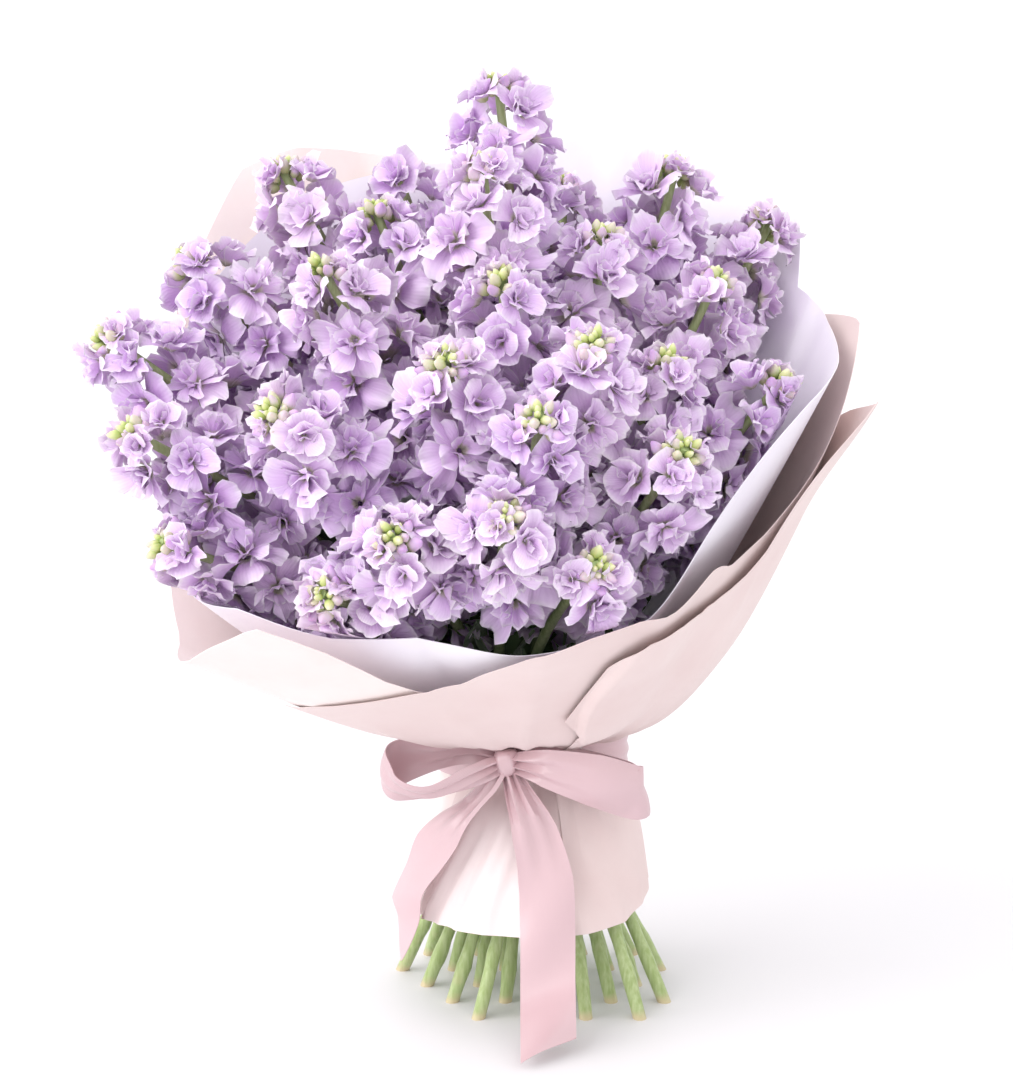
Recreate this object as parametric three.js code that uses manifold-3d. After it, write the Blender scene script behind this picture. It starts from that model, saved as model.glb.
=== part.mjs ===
// A hand-tied bouquet of double stock, in a paper lining and three outer sheets, tied with a satin ribbon.
// Millimetres, +Z up. It stands on its cut stem ends at z = 0, and -Y is its front.
import * as THREE from "three";
import { mergeVertices } from "three/addons/utils/BufferGeometryUtils.js";
import Module from "manifold-3d";

const wasm = await Module();
wasm.setup();

// Stems: thickness at the foot, at the tie and at the tip, and the ring that the outer feet stand on
const FOOT_RADIUS = 3.0;
const TIE_RADIUS = 2.6;
const TIP_RADIUS = 2.0;
const FEET_RING = 66;
const SLOT_PITCH = 7.3; // between the middles of two stems at the tie
const STEM_SIDES = 5;
const ROWS_TO_TIE = [0, 0.7, 1]; // rings of corners between the foot and the tie
const ROWS_TO_TIP = [0.14, 0.42, 1]; // and between the tie and the tip

// The tie: its height, and how far the spiral turns from the feet to it and from it to the heads
const TIE_HEIGHT = 118;
const FEET_TURN = THREE.MathUtils.degToRad(60);
const HEADS_TURN = THREE.MathUtils.degToRad(60);
const ARCH = 0.09; // a stem's rise above its chord, as a share of its length
const TWINE_RADIUS = 1.0;
const TWINE_TURNS = 2;
const TWINE_SIDES = 12;
const TWINE_SLACK = 0.8; // round the outermost stems, which lean through it

// Blooms: a lilac core round the stem, and florets that stand out of it
const FLORETS = 7;
const FIRST_FLORET = 17; // from the tip of the stem
const FLORET_STEP = 14.5; // along the stem from one floret to the next
const SMALL_FLORET = 12; // radius of the floret next to the buds
const LARGE_FLORET = 20;
const SPREAD_AT_TIP = 8; // from the stem's middle to a floret's middle
const SPREAD_AT_BASE = 16;
const RUFFLES = 6; // points round a floret, by turns far out and lifted
const FAR_POINT = [1, -0.02]; // its reach and height for a radius of 1
const LIFTED_POINT = [0.84, 0.26];
const FLORET_MIDDLE = 0.24;
const FLORET_ROOT = -0.9;
const FLORET_RISE = 0.75; // up the stem for each 1 outwards, the way a floret or a bud faces
const GOLDEN_ANGLE = THREE.MathUtils.degToRad(137.5);
const CORE_RADIUS = 6.5;
const CLEARANCE = 0.35; // between two pieces that touch

// Buds: one at the tip and a ring of them below it
const BUD_LENGTH = 10;
const BUD_WIDTH = 5.6;
const BUD_RING_RADIUS = 4.0;
const BUD_RING_DROPS = [4, 2, 4]; // below the stem's tip

// Leaves on the outer stems, below the blooms
const LEAF_LENGTH = 62;
const LEAF_WIDTH = 13;
const LEAF_THICKNESS = 1.4;
const LEAF_START = 40; // along the stem from the tie
const LEAF_SUNK = 4; // into the stem, along it
const LEAF_BEND = 12; // away from the stem at the leaf's tip
const LEAF_OFFSET = 1; // from the stem's middle at its root
const LEAF_STEEPEST = 1.35; // rise over run of the steepest stem with a leaf

// Paper: the gathered waist under the ribbon, the hem of the skirt below it and the flare above it
const SHEETS = 4;
const SHEET_THICKNESS = 0.8;
const SHEET_STEP = 1.25; // from one sheet to the next at the waist
const LOOSENESS = 4.5; // how much wider the sheets stand apart at the rim
const COLUMN = 20; // degrees of the wrap for each flat of a sheet
const WAIST_WIDE = 42;
const WAIST_DEEP = 28;
const HEM_WIDE = 53;
const HEM_DEEP = 52;
const HEM_HEIGHT = 41;
const HEM_SLANT = 6; // the hem is higher on the right than on the left, by twice this
const SKIRT_FULLNESS = 0.6; // below 1 the skirt is full above its hem
const LEVELS = [-1, -0.5, 0, 1, 1.14, 1.3]; // the rows of a sheet from its hem, as in liningPoint
const RIBBON_WIDTH = 25;
const RIBBON_THICKNESS = 0.9;
const WAIST_LOW = 106;
const WAIST_HEIGHT = 25;
const BAND_LOW = 108;
const BAND_HEIGHT = 18; // the ribbon is gathered narrower where it goes round the waist
const KNOT = new THREE.Vector3(-12, -39, 119);
const KNOT_RADIUS = 8;
const LOOP_STEPS = 9;
const FRONT_TAIL_CUT = -0.5; // how far a tail's cut end slants, for each millimetre of its width
const LEFT_TAIL_CUT = 0.4;
const BOWL_LEFT = 1.45; // above 1 the flare starts flat before it rises
const BOWL_RIGHT = 1.2;

// The rim of the lining by azimuth: 0 is the front, 90 the right, 180 the back
const RIM_AZIMUTHS = [-180, -135, -110, -90, -70, -45, -20, 0, 25, 40, 55, 70, 90, 115, 135, 160, 180];
const RIM_RADII = [128, 152, 170, 172, 166, 148, 124, 114, 116, 118, 122, 130, 142, 154, 154, 140, 128];
const RIM_HEIGHTS = [385, 368, 318, 262, 212, 200, 195, 194, 206, 240, 264, 292, 318, 348, 368, 382, 385];

// How far the outer sheets hang away from the lining at the rim, and how far up it each one reaches
const SAG = [
  [-180, -130, -105, -80, -60, -40, 0, 45, 90, 120, 150, 180],
  [0, 0, 12, 24, 28, 12, 2, 4, 7, 3, 0, 0],
];
const LEFT_RIM = [
  [-200, -140, -105, -80, -60, -40, -20, 0],
  [0.96, 1, 0.9, 0.86, 0.94, 0.94, 0.76, 0.7],
];
const FRONT_RIM = [
  [-60, -40, -20, 0, 20, 40, 60, 80, 120],
  [0.54, 0.72, 1.0, 1.14, 1.2, 1.02, 0.9, 0.86, 0.86],
];
const RIGHT_RIM = [
  [20, 40, 60, 80, 100, 120, 160, 200],
  [1.1, 0.94, 0.86, 0.84, 0.96, 0.98, 0.96, 0.96],
];

// Each stem's tip: across, away from the front, and up
const TIPS = [
  [-16, 38, 427],
  [-23, -35, 396],
  [-119, 62, 385],
  [-66, 98, 382],
  [-73, 22, 370],
  [-161, 22, 348],
  [-94, -45, 351],
  [-194, -20, 317],
  [-177, -75, 283],
  [-112, -105, 296],
  [-38, -110, 320],
  [-14, -70, 349],
  [26, -100, 325],
  [32, -15, 362],
  [69, 72, 386],
  [116, 82, 359],
  [84, -8, 342],
  [113, -30, 299],
  [64, -100, 279],
  [2, -127, 298],
  [60, -62, 312],
  [-12, -146, 260],
  [-60, -140, 249],
  [-90, -120, 220],
  [-162, -82, 234],
  [26, -128, 234],
  [15, 102, 375],
];

function between(keys, values, at) {
  let k = 0;
  while (k < keys.length - 2 && at > keys[k + 1]) k += 1;
  const t = (at - keys[k]) / (keys[k + 1] - keys[k]);
  const before = values[Math.max(k - 1, 0)];
  const after = values[Math.min(k + 2, values.length - 1)];
  const [a, b] = [values[k], values[k + 1]];
  const rise = (b - before) / 2;
  const fall = (after - a) / 2;
  return a + t * (rise + t * (3 * (b - a) - 2 * rise - fall + t * (2 * (a - b) + rise + fall)));
}

// Closed solids

function solidOf(geometry) {
  geometry.deleteAttribute("normal");
  geometry.deleteAttribute("uv");
  const merged = mergeVertices(geometry, 1e-4);
  return new wasm.Manifold(
    new wasm.Mesh({
      numProp: 3,
      vertProperties: merged.attributes.position.array,
      triVerts: new Uint32Array(merged.index.array),
    }),
  );
}

function geometryOf(solid) {
  const mesh = solid.getMesh();
  const geometry = new THREE.BufferGeometry();
  geometry.setAttribute("position", new THREE.BufferAttribute(new Float32Array(mesh.vertProperties), 3));
  geometry.setIndex(new THREE.BufferAttribute(new Uint32Array(mesh.triVerts), 1));
  geometry.computeVertexNormals();
  return geometry;
}

function fused(solids) {
  return wasm.Manifold.union(solids);
}

function largestBody(solid) {
  const bodies = solid.decompose();
  return bodies.reduce((best, body) => (body.volume() > best.volume() ? body : best));
}

function reshaped(geometry, place) {
  const position = geometry.attributes.position;
  const point = new THREE.Vector3();
  for (let i = 0; i < position.count; i += 1) {
    place(point.fromBufferAttribute(position, i));
    position.setXYZ(i, point.x, point.y, point.z);
  }
  return geometry;
}

// A flat box to bend into a sheet, with the grids of its two faces split along the same diagonals
function flatBox(columns, rows) {
  const box = new THREE.BoxGeometry(1, 1, 1, columns, rows, 1);
  const { start, count } = box.groups[5];
  for (let k = start; k < start + count; k += 6) {
    const [a, b, d, , c] = box.index.array.slice(k, k + 6);
    box.index.array.set([a, b, c, a, c, d], k);
  }
  return box;
}

// Three directions at a place on a stem: across it, along it, and across it again
function frameAt(curve, share) {
  const along = curve.getTangentAt(THREE.MathUtils.clamp(share, 0, 1));
  const across = new THREE.Vector3(0, 1, 0).cross(along).normalize();
  return { along, across, third: across.clone().cross(along) };
}

// A bar with flat sides bent along a curve, with a ring of corners at each of the shares
function bentBar(curve, shares, radiusAt, sides, flatFoot) {
  const rows = shares.length - 1;
  return reshaped(new THREE.CylinderGeometry(1, 1, 1, sides, rows), (p) => {
    const row = Math.round((p.y + 0.5) * rows);
    const { along, across, third } = frameAt(curve, shares[row]);
    const radius = radiusAt(shares[row]);
    const [x, z] = [p.x * radius, p.z * radius];
    p.copy(curve.getPointAt(shares[row])).addScaledVector(across, x).addScaledVector(third, z);
    if (flatFoot && row === 0) p.addScaledVector(along, -p.z / along.z);
  });
}

// The bunch: where each stem stands, passes the tie and ends

function hexagonSlots(count) {
  const slots = [];
  for (let row = -4; row <= 4; row += 1) {
    for (let column = -4; column <= 4; column += 1) {
      slots.push(new THREE.Vector2(column + row / 2, (row * Math.sqrt(3)) / 2).multiplyScalar(SLOT_PITCH));
    }
  }
  slots.sort((a, b) => a.length() - b.length() + 1e-3 * Math.sign(a.angle() - b.angle()));
  return slots.slice(0, count);
}

function spun(place, angle) {
  return place.rotateAround(new THREE.Vector2(), angle);
}

// Gives each tip the slot on its own side of the bunch, by swapping pairs until none is better
function slotsFor(tips) {
  const middle = new THREE.Vector2();
  tips.forEach((tip) => middle.add(new THREE.Vector2(tip.x, tip.y).divideScalar(tips.length)));
  const slots = hexagonSlots(tips.length);
  const widest = Math.max(...slots.map((slot) => slot.length()));
  const lean = tips.map((tip) => new THREE.Vector2(tip.x, tip.y).sub(middle));
  const furthest = Math.max(...lean.map((v) => v.length()));
  const wished = lean.map((v) => spun(v.multiplyScalar(widest / furthest), -HEADS_TURN));
  const cost = (tip, slot) => wished[tip].distanceToSquared(slots[slot]);
  const taken = slots.map((_, k) => k);
  let better = true;
  while (better) {
    better = false;
    for (let a = 0; a < taken.length; a += 1) {
      for (let b = a + 1; b < taken.length; b += 1) {
        const now = cost(a, taken[a]) + cost(b, taken[b]);
        const swapped = cost(a, taken[b]) + cost(b, taken[a]);
        if (swapped < now - 1e-6) {
          [taken[a], taken[b]] = [taken[b], taken[a]];
          better = true;
        }
      }
    }
  }
  return taken.map((k) => slots[k]);
}

function stemCurves() {
  const tips = TIPS.map((tip) => new THREE.Vector3(...tip));
  const slots = slotsFor(tips);
  const widest = Math.max(...slots.map((slot) => slot.length()));
  return tips.map((tip, k) => {
    const foot = spun(slots[k].clone().multiplyScalar(FEET_RING / widest), -FEET_TURN);
    const tie = new THREE.Vector3(slots[k].x, slots[k].y, TIE_HEIGHT);
    const middle = tie.clone().lerp(tip, 0.5);
    middle.z += ARCH * tie.distanceTo(tip);
    const curve = new THREE.CatmullRomCurve3([new THREE.Vector3(foot.x, foot.y, 0), tie, middle, tip]);
    curve.tieLength = tie.distanceTo(curve.points[0]);
    return curve;
  });
}

// A stem with its buds, and on an outer stem one leaf

function bud(place, outward) {
  const turn = new THREE.Quaternion().setFromUnitVectors(new THREE.Vector3(0, 1, 0), outward);
  const geometry = new THREE.OctahedronGeometry(1, 0);
  geometry.scale(BUD_WIDTH / 2, BUD_LENGTH / 2, BUD_WIDTH / 2);
  return geometry.applyQuaternion(turn).translate(place.x, place.y, place.z);
}

function budSolids(curve) {
  const { along, across, third } = frameAt(curve, 1);
  const tip = curve.getPointAt(1);
  const buds = [bud(tip.clone().addScaledVector(along, 1), along)];
  BUD_RING_DROPS.forEach((drop, k) => {
    const angle = (k * 2 * Math.PI) / BUD_RING_DROPS.length;
    const side = across.clone().multiplyScalar(Math.cos(angle)).addScaledVector(third, Math.sin(angle));
    const place = tip.clone().addScaledVector(side, BUD_RING_RADIUS).addScaledVector(along, -drop);
    buds.push(bud(place, side.clone().multiplyScalar(FLORET_RISE).add(along).normalize()));
  });
  return buds.map(solidOf);
}

// A lance-shaped blade that leaves the stem on its lower side and bends away from it
function leafSolids(curve, margin) {
  const [tip, tie] = [curve.points[3], curve.points[1]];
  if ((tip.z - tie.z) / Math.hypot(tip.x, tip.y) > LEAF_STEEPEST) return [];
  const start = (curve.tieLength + LEAF_START) / curve.getLength();
  const { along } = frameAt(curve, start);
  const down = new THREE.Vector3(0, 0, -1);
  const under = down.addScaledVector(along, -down.dot(along)).normalize();
  const side = under.clone().cross(along);
  const root = curve.getPointAt(start);
  const blade = reshaped(new THREE.SphereGeometry(1, 4, 5, Math.PI / 4), (p) => {
    const share = (1 - p.y) / 2;
    const [x, z] = [p.x * (LEAF_WIDTH / 2 + margin), p.z * (LEAF_THICKNESS / 2 + margin)];
    const bend = LEAF_OFFSET + LEAF_BEND * share * share;
    p.copy(root).addScaledVector(along, share * LEAF_LENGTH - LEAF_SUNK).addScaledVector(side, x);
    p.addScaledVector(under, z + bend);
  });
  return [solidOf(blade)];
}

// The radius of a stem at a share of its length, thickened all round by a margin
function stemRadius(curve, share, margin) {
  const tie = curve.tieLength / curve.getLength();
  const below = THREE.MathUtils.lerp(FOOT_RADIUS, TIE_RADIUS, share / tie);
  const above = THREE.MathUtils.lerp(TIE_RADIUS, TIP_RADIUS, (share - tie) / (1 - tie));
  return (share < tie ? below : above) + margin / Math.cos(Math.PI / STEM_SIDES);
}

function stemBar(curve, margin) {
  const tie = curve.tieLength / curve.getLength();
  const below = ROWS_TO_TIE.map((row) => row * tie);
  const above = ROWS_TO_TIP.map((row) => tie + row * (1 - tie));
  const radiusAt = (share) => stemRadius(curve, share, margin);
  return solidOf(bentBar(curve, [...below, ...above], radiusAt, STEM_SIDES, margin === 0));
}

function stemSolid(curve) {
  return fused([stemBar(curve, 0), ...budSolids(curve), ...leafSolids(curve, 0)]);
}

// A bloom: florets in a spiral round the stem, sunk into a core that the stem runs through

// A floret is a ruffled dish on a point that is sunk into the core
function floretSolid(radius, place, facing, spin) {
  const turn = new THREE.Quaternion().setFromUnitVectors(new THREE.Vector3(0, 1, 0), facing);
  const dish = reshaped(new THREE.SphereGeometry(1, RUFFLES, 2), (p) => {
    const column = Math.round((Math.atan2(p.z, p.x) / (2 * Math.PI)) * RUFFLES + RUFFLES) % RUFFLES;
    const angle = (column * 2 * Math.PI) / RUFFLES + spin;
    const [reach, rise] = column % 2 ? LIFTED_POINT : FAR_POINT;
    if (p.y > 0.9) p.set(0, FLORET_MIDDLE, 0);
    else if (p.y < -0.9) p.set(0, FLORET_ROOT, 0);
    else p.set(reach * Math.cos(angle), rise, reach * Math.sin(angle));
  });
  dish.scale(radius, radius, radius).applyQuaternion(turn).translate(place.x, place.y, place.z);
  return solidOf(dish);
}

function bloomSolid(curve, index) {
  const length = curve.getLength();
  const share = (fromTip) => 1 - fromTip / length;
  const florets = Array.from({ length: FLORETS }, (_, k) => {
    const fromTip = FIRST_FLORET + k * FLORET_STEP;
    const { along, across, third } = frameAt(curve, share(fromTip));
    const angle = k * GOLDEN_ANGLE + index;
    const side = across.clone().multiplyScalar(Math.cos(angle)).addScaledVector(third, Math.sin(angle));
    const grown = Math.sqrt(k / (FLORETS - 1));
    const spread = THREE.MathUtils.lerp(SPREAD_AT_TIP, SPREAD_AT_BASE, grown);
    const place = curve.getPointAt(share(fromTip)).addScaledVector(side, spread);
    const facing = side.clone().addScaledVector(along, FLORET_RISE).normalize();
    return floretSolid(THREE.MathUtils.lerp(SMALL_FLORET, LARGE_FLORET, grown), place, facing, k);
  });
  const ends = [share(FIRST_FLORET + (FLORETS - 0.6) * FLORET_STEP), share(FIRST_FLORET - 3)];
  const core = solidOf(bentBar(curve, ends, () => CORE_RADIUS, STEM_SIDES, false));
  const stem = fused([stemBar(curve, CLEARANCE), ...leafSolids(curve, CLEARANCE)]);
  return fused([core, ...florets]).subtract(stem);
}

// Where two blooms press into each other, each keeps to its own side of the plane midway
function keptApart(blooms, curves) {
  const halfway = FIRST_FLORET + (FLORETS / 2) * FLORET_STEP;
  const middle = (curve) => curve.getPointAt(1 - halfway / curve.getLength());
  return blooms.map((bloom, i) => {
    let kept = bloom;
    curves.forEach((other, j) => {
      if (i === j || bloom.intersect(blooms[j]).isEmpty()) return;
      const [here, there] = [middle(curves[i]), middle(other)];
      const outward = here.clone().add(there).sub(curves[i].points[1]).sub(other.points[1]).normalize();
      const normal = here.clone().sub(there);
      normal.addScaledVector(outward, -normal.dot(outward)).normalize();
      const offset = normal.dot(here.add(there).multiplyScalar(0.5)) + CLEARANCE / 2;
      kept = kept.trimByPlane([normal.x, normal.y, normal.z], offset);
    });
    return kept;
  });
}

// Paper

function direction(azimuth) {
  const angle = THREE.MathUtils.degToRad(azimuth);
  return new THREE.Vector3(Math.sin(angle), -Math.cos(angle), 0);
}

function ellipseRadius(wide, deep, azimuth) {
  const { x, y } = direction(azimuth);
  return 1 / Math.hypot(x / wide, y / deep);
}

// An azimuth brought to the range from -180 to 180
function turned(azimuth) {
  return THREE.MathUtils.euclideanModulo(azimuth + 180, 360) - 180;
}

// A point of the lining: level -1 is the hem, 0 to 1 the waist under the ribbon, and 2 the rim
function liningPoint(azimuth, level) {
  const around = turned(azimuth);
  const waist = ellipseRadius(WAIST_WIDE, WAIST_DEEP, around);
  if (level < 0) {
    const hem = ellipseRadius(HEM_WIDE, HEM_DEEP, around);
    const low = HEM_HEIGHT + HEM_SLANT * direction(around).x;
    const radius = THREE.MathUtils.lerp(waist, hem, (-level) ** SKIRT_FULLNESS);
    return direction(around).multiplyScalar(radius).setZ(THREE.MathUtils.lerp(WAIST_LOW, low, -level));
  }
  const band = WAIST_LOW + WAIST_HEIGHT * Math.min(level, 1);
  const flare = Math.max(level - 1, 0);
  const bowl = THREE.MathUtils.lerp(BOWL_LEFT, BOWL_RIGHT, (direction(around).x + 1) / 2);
  const radius = THREE.MathUtils.lerp(waist, between(RIM_AZIMUTHS, RIM_RADII, around), flare);
  const rise = (between(RIM_AZIMUTHS, RIM_HEIGHTS, around) - band) * flare ** bowl;
  return direction(around).multiplyScalar(radius).setZ(band + rise);
}

// The same point moved off the lining, so many layers out and so many millimetres further
function wrapPoint(azimuth, levels, row, layers, further) {
  const level = levels[row];
  const sideways = liningPoint(azimuth + 1, level).sub(liningPoint(azimuth - 1, level));
  const normal = (low, high) => {
    const upward = liningPoint(azimuth, levels[high]).sub(liningPoint(azimuth, levels[low]));
    return sideways.clone().cross(upward).normalize();
  };
  const below = normal(Math.max(row - 1, 0), Math.max(row, 1));
  const above = normal(Math.min(row, levels.length - 2), Math.min(row + 1, levels.length - 1));
  const mitre = below.clone().add(above).divideScalar(1 + below.dot(above));
  const flare = Math.max(level - 1, 0);
  const sag = between(...SAG, turned(azimuth)) * flare * flare * Math.min(layers, 1);
  const offset = layers * SHEET_STEP * (1 + LOOSENESS * flare) + sag + further;
  return liningPoint(azimuth, level).addScaledVector(mitre, offset);
}

// A sheet from one azimuth to another, between two surfaces; rimAt gives how far up the flare it reaches
function sheetSolid(from, to, inner, outer, rimAt) {
  const levelsAt = (rim) => [...LEVELS, (LEVELS.at(-1) + 1 + rim) / 2, 1 + rim];
  const columns = Math.round((to - from) / COLUMN);
  const rows = levelsAt(1).length - 1;
  const sheet = reshaped(flatBox(columns, rows), (p) => {
    const azimuth = THREE.MathUtils.lerp(from, to, p.x + 0.5);
    const row = Math.round((p.y + 0.5) * rows);
    const { layers, further } = p.z > 0 ? outer : inner;
    p.copy(wrapPoint(azimuth, levelsAt(rimAt(azimuth)), row, layers, further));
  });
  return solidOf(sheet);
}

// Ribbon: a band, a knot, two loops and two tails, all one length of ribbon

// A ribbon through stations, each with its place from the knot, its width and the direction of that
// width; its last end is cut at a slant
function strip(stations, steps, cut) {
  const vector = (p) => new THREE.Vector3(...p);
  const path = new THREE.CatmullRomCurve3(stations.map((station) => vector(station.at).add(KNOT)));
  return reshaped(flatBox(1, steps), (p) => {
    const share = p.y + 0.5;
    const stretch = share * (stations.length - 1);
    const k = Math.min(Math.floor(stretch), stations.length - 2);
    const [here, next] = [stations[k], stations[k + 1]];
    const across = vector(here.across).lerp(vector(next.across), stretch - k);
    const along = path.getTangent(share);
    across.addScaledVector(along, -across.dot(along)).normalize();
    const face = across.clone().cross(along);
    const width = THREE.MathUtils.lerp(here.width, next.width, stretch - k);
    const [x, z] = [p.x * width, p.z * RIBBON_THICKNESS];
    p.copy(path.getPoint(share)).addScaledVector(across, x).addScaledVector(face, z);
    if (share === 1) p.addScaledVector(along, x * cut);
  });
}

// A loop goes out behind and comes back in front, gathered at the knot
function loop(reach, droop, tilt) {
  const upright = [tilt, 0, 1];
  return strip(
    [
      { at: [0, 2, 1], width: 8, across: upright },
      { at: [0.4 * reach, -2, 2 - 0.3 * droop], width: 21, across: upright },
      { at: [0.9 * reach, -2, 1 - droop], width: RIBBON_WIDTH, across: upright },
      { at: [reach, -6, -droop], width: RIBBON_WIDTH, across: upright },
      { at: [0.9 * reach, -10, -1 - droop], width: RIBBON_WIDTH, across: upright },
      { at: [0.4 * reach, -14, -1 - 0.4 * droop], width: 21, across: upright },
      { at: [0, -2, -1], width: 8, across: upright },
    ],
    LOOP_STEPS,
    0,
  );
}

function tails() {
  const flat = [1, 0, 0];
  const front = [
    { at: [1, -2, -3], width: 8, across: [1, 0, 0.3] },
    { at: [9, -10, -20], width: 18, across: [1, 0, 0.3] },
    { at: [17, -17, -46], width: 24, across: flat },
    { at: [19, -20, -78], width: RIBBON_WIDTH, across: flat },
    { at: [19, -26, -106], width: RIBBON_WIDTH, across: flat },
    { at: [19, -38, -117], width: RIBBON_WIDTH, across: flat },
    { at: [19, -60, RIBBON_THICKNESS - KNOT.z], width: RIBBON_WIDTH, across: flat },
  ];
  const left = [
    { at: [-1, -2, -3], width: 8, across: [1, 0, 0.6] },
    { at: [-14, -11, -20], width: 20, across: [1, -0.4, 0.5] },
    { at: [-30, -15, -42], width: 24, across: [1, -0.8, 0.3] },
    { at: [-45, -12, -62], width: RIBBON_WIDTH, across: [1, -0.8, 0.3] },
    { at: [-54, -2, -88], width: RIBBON_WIDTH, across: [0.6, -1, 0.4] },
  ];
  return [strip(front, 9, FRONT_TAIL_CUT), strip(left, 6, LEFT_TAIL_CUT)];
}

function ribbonSolid() {
  const inner = (SHEETS - 1) * SHEET_STEP + SHEET_THICKNESS + CLEARANCE;
  const columns = 360 / COLUMN;
  const ring = (offset, low, high) =>
    reshaped(new THREE.CylinderGeometry(1, 1, 1, columns), (p) => {
      const azimuth = Math.round(THREE.MathUtils.radToDeg(Math.atan2(p.x, p.z)) / COLUMN) * COLUMN;
      const height = p.y > 0 ? high : low;
      if (Math.hypot(p.x, p.z) < 0.5) p.set(0, 0, height);
      else p.copy(wrapPoint(azimuth, [0, 1], 0, 0, offset)).setZ(height);
    });
  const [low, high] = [BAND_LOW, BAND_LOW + BAND_HEIGHT];
  const outside = solidOf(ring(inner + RIBBON_THICKNESS, low, high));
  const band = outside.subtract(solidOf(ring(inner, low - 1, high + 1)));
  const knot = new THREE.SphereGeometry(KNOT_RADIUS, 6, 4).translate(KNOT.x, KNOT.y, KNOT.z);
  const solids = [knot, loop(64, 3, -0.15), loop(-54, 2, 0.1), ...tails()].map(solidOf);
  return fused([band, ...solids]);
}

// The twine under the paper: turns side by side round the whole bunch
function twineSolid(radius) {
  const height = 2 * TWINE_RADIUS * TWINE_TURNS;
  const low = TIE_HEIGHT - height / 2;
  const profile = [new THREE.Vector2(radius, low)];
  for (let k = 0; k <= TWINE_TURNS; k += 1) {
    profile.push(new THREE.Vector2(radius + TWINE_RADIUS, low + 2 * TWINE_RADIUS * k));
    if (k === TWINE_TURNS) break;
    profile.push(new THREE.Vector2(radius + 2 * TWINE_RADIUS, low + TWINE_RADIUS * (2 * k + 1)));
  }
  profile.push(new THREE.Vector2(radius, low + height), profile[0].clone());
  return solidOf(new THREE.LatheGeometry(profile, TWINE_SIDES).rotateX(Math.PI / 2));
}

// Materials and the whole bouquet

const finish = (color, roughness) => new THREE.MeshStandardMaterial({ color, roughness, metalness: 0 });
const STEM_GREEN = finish("#9db56a", 0.6);
const PETAL_LILAC = finish("#cfb0e2", 0.7);
const LINING_WHITE = finish("#f1ecf5", 0.7);
const WRAP_BLUSH = finish("#f3ddd9", 0.75);
const RIBBON_PINK = finish("#efb9bd", 0.35);
const TWINE_TAN = finish("#b39a6b", 0.9);

const bouquet = new THREE.Group();

function add(name, solid, material) {
  const mesh = new THREE.Mesh(geometryOf(solid), material);
  mesh.name = name;
  bouquet.add(mesh);
}

const curves = stemCurves();
const stems = curves.map(stemSolid);
const surface = (layers, further) => ({ layers, further });
const whole = () => 1;
const outermost = surface(SHEETS - 1, SHEET_THICKNESS + CLEARANCE);
const paperZone = sheetSolid(-179.7, 179.7, surface(0, -CLEARANCE), outermost, whole);
const apart = keptApart(curves.map(bloomSolid), curves);
const blooms = apart.map((bloom) => largestBody(bloom.subtract(paperZone)));
const number = (k) => String(k + 1).padStart(2, "0");
stems.forEach((solid, k) => add("stem_" + number(k), solid, STEM_GREEN));
blooms.forEach((solid, k) => add("bloom_" + number(k), solid, PETAL_LILAC));

function addSheet(name, from, to, layer, rimAt, material) {
  add(name, sheetSolid(from, to, surface(layer, 0), surface(layer, SHEET_THICKNESS), rimAt), material);
}

addSheet("lining_paper", -179.7, 179.7, 0, whole, LINING_WHITE);
addSheet("wrap_paper_left", -200, 0, 1, (azimuth) => between(...LEFT_RIM, azimuth), WRAP_BLUSH);
addSheet("wrap_paper_front", -60, 120, 2, (azimuth) => between(...FRONT_RIM, azimuth), WRAP_BLUSH);
addSheet("wrap_paper_right", 20, 200, 3, (azimuth) => between(...RIGHT_RIM, azimuth), WRAP_BLUSH);
add("ribbon", ribbonSolid(), RIBBON_PINK);
const bunchRadius = Math.max(...hexagonSlots(TIPS.length).map((slot) => slot.length())) + TIE_RADIUS;
add("twine", twineSolid((bunchRadius + TWINE_SLACK) / Math.cos(Math.PI / TWINE_SIDES)), TWINE_TAN);

// The origin is under the middle of the whole bouquet, on the surface that it stands on
const middle = new THREE.Box3().setFromObject(bouquet).getCenter(new THREE.Vector3());
bouquet.position.set(-middle.x, -middle.y, 0);

export default bouquet;
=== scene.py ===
import math
from functools import partial
from itertools import combinations

import bpy
import numpy as np
from bpy.props import FloatProperty, FloatVectorProperty, IntProperty, PointerProperty
from mathutils import Matrix, Vector


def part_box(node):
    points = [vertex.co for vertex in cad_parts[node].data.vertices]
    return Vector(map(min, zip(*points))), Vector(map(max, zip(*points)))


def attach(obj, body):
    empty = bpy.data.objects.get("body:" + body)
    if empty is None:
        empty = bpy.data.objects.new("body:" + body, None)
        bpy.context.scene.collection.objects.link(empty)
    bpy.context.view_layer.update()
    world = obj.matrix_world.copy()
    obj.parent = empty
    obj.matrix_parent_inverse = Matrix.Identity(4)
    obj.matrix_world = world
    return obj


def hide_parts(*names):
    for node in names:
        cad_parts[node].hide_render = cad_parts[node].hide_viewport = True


bl_info = {
    "name": "Bouquet of Stock",
    "version": (1, 0, 0),
    "blender": (4, 5, 0),
    "location": "View3D > Sidebar > Bouquet",
    "description": "Builds the flowers, stems, paper and ribbon of a hand-tied bouquet of stock",
    "category": "Add Mesh",
}

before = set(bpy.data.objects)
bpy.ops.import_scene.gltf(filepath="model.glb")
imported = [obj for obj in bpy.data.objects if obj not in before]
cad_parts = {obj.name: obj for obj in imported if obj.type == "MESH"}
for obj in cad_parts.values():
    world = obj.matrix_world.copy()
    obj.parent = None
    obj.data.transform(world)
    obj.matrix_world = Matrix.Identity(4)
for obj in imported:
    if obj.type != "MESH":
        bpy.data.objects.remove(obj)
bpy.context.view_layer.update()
MM = 0.001

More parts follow.
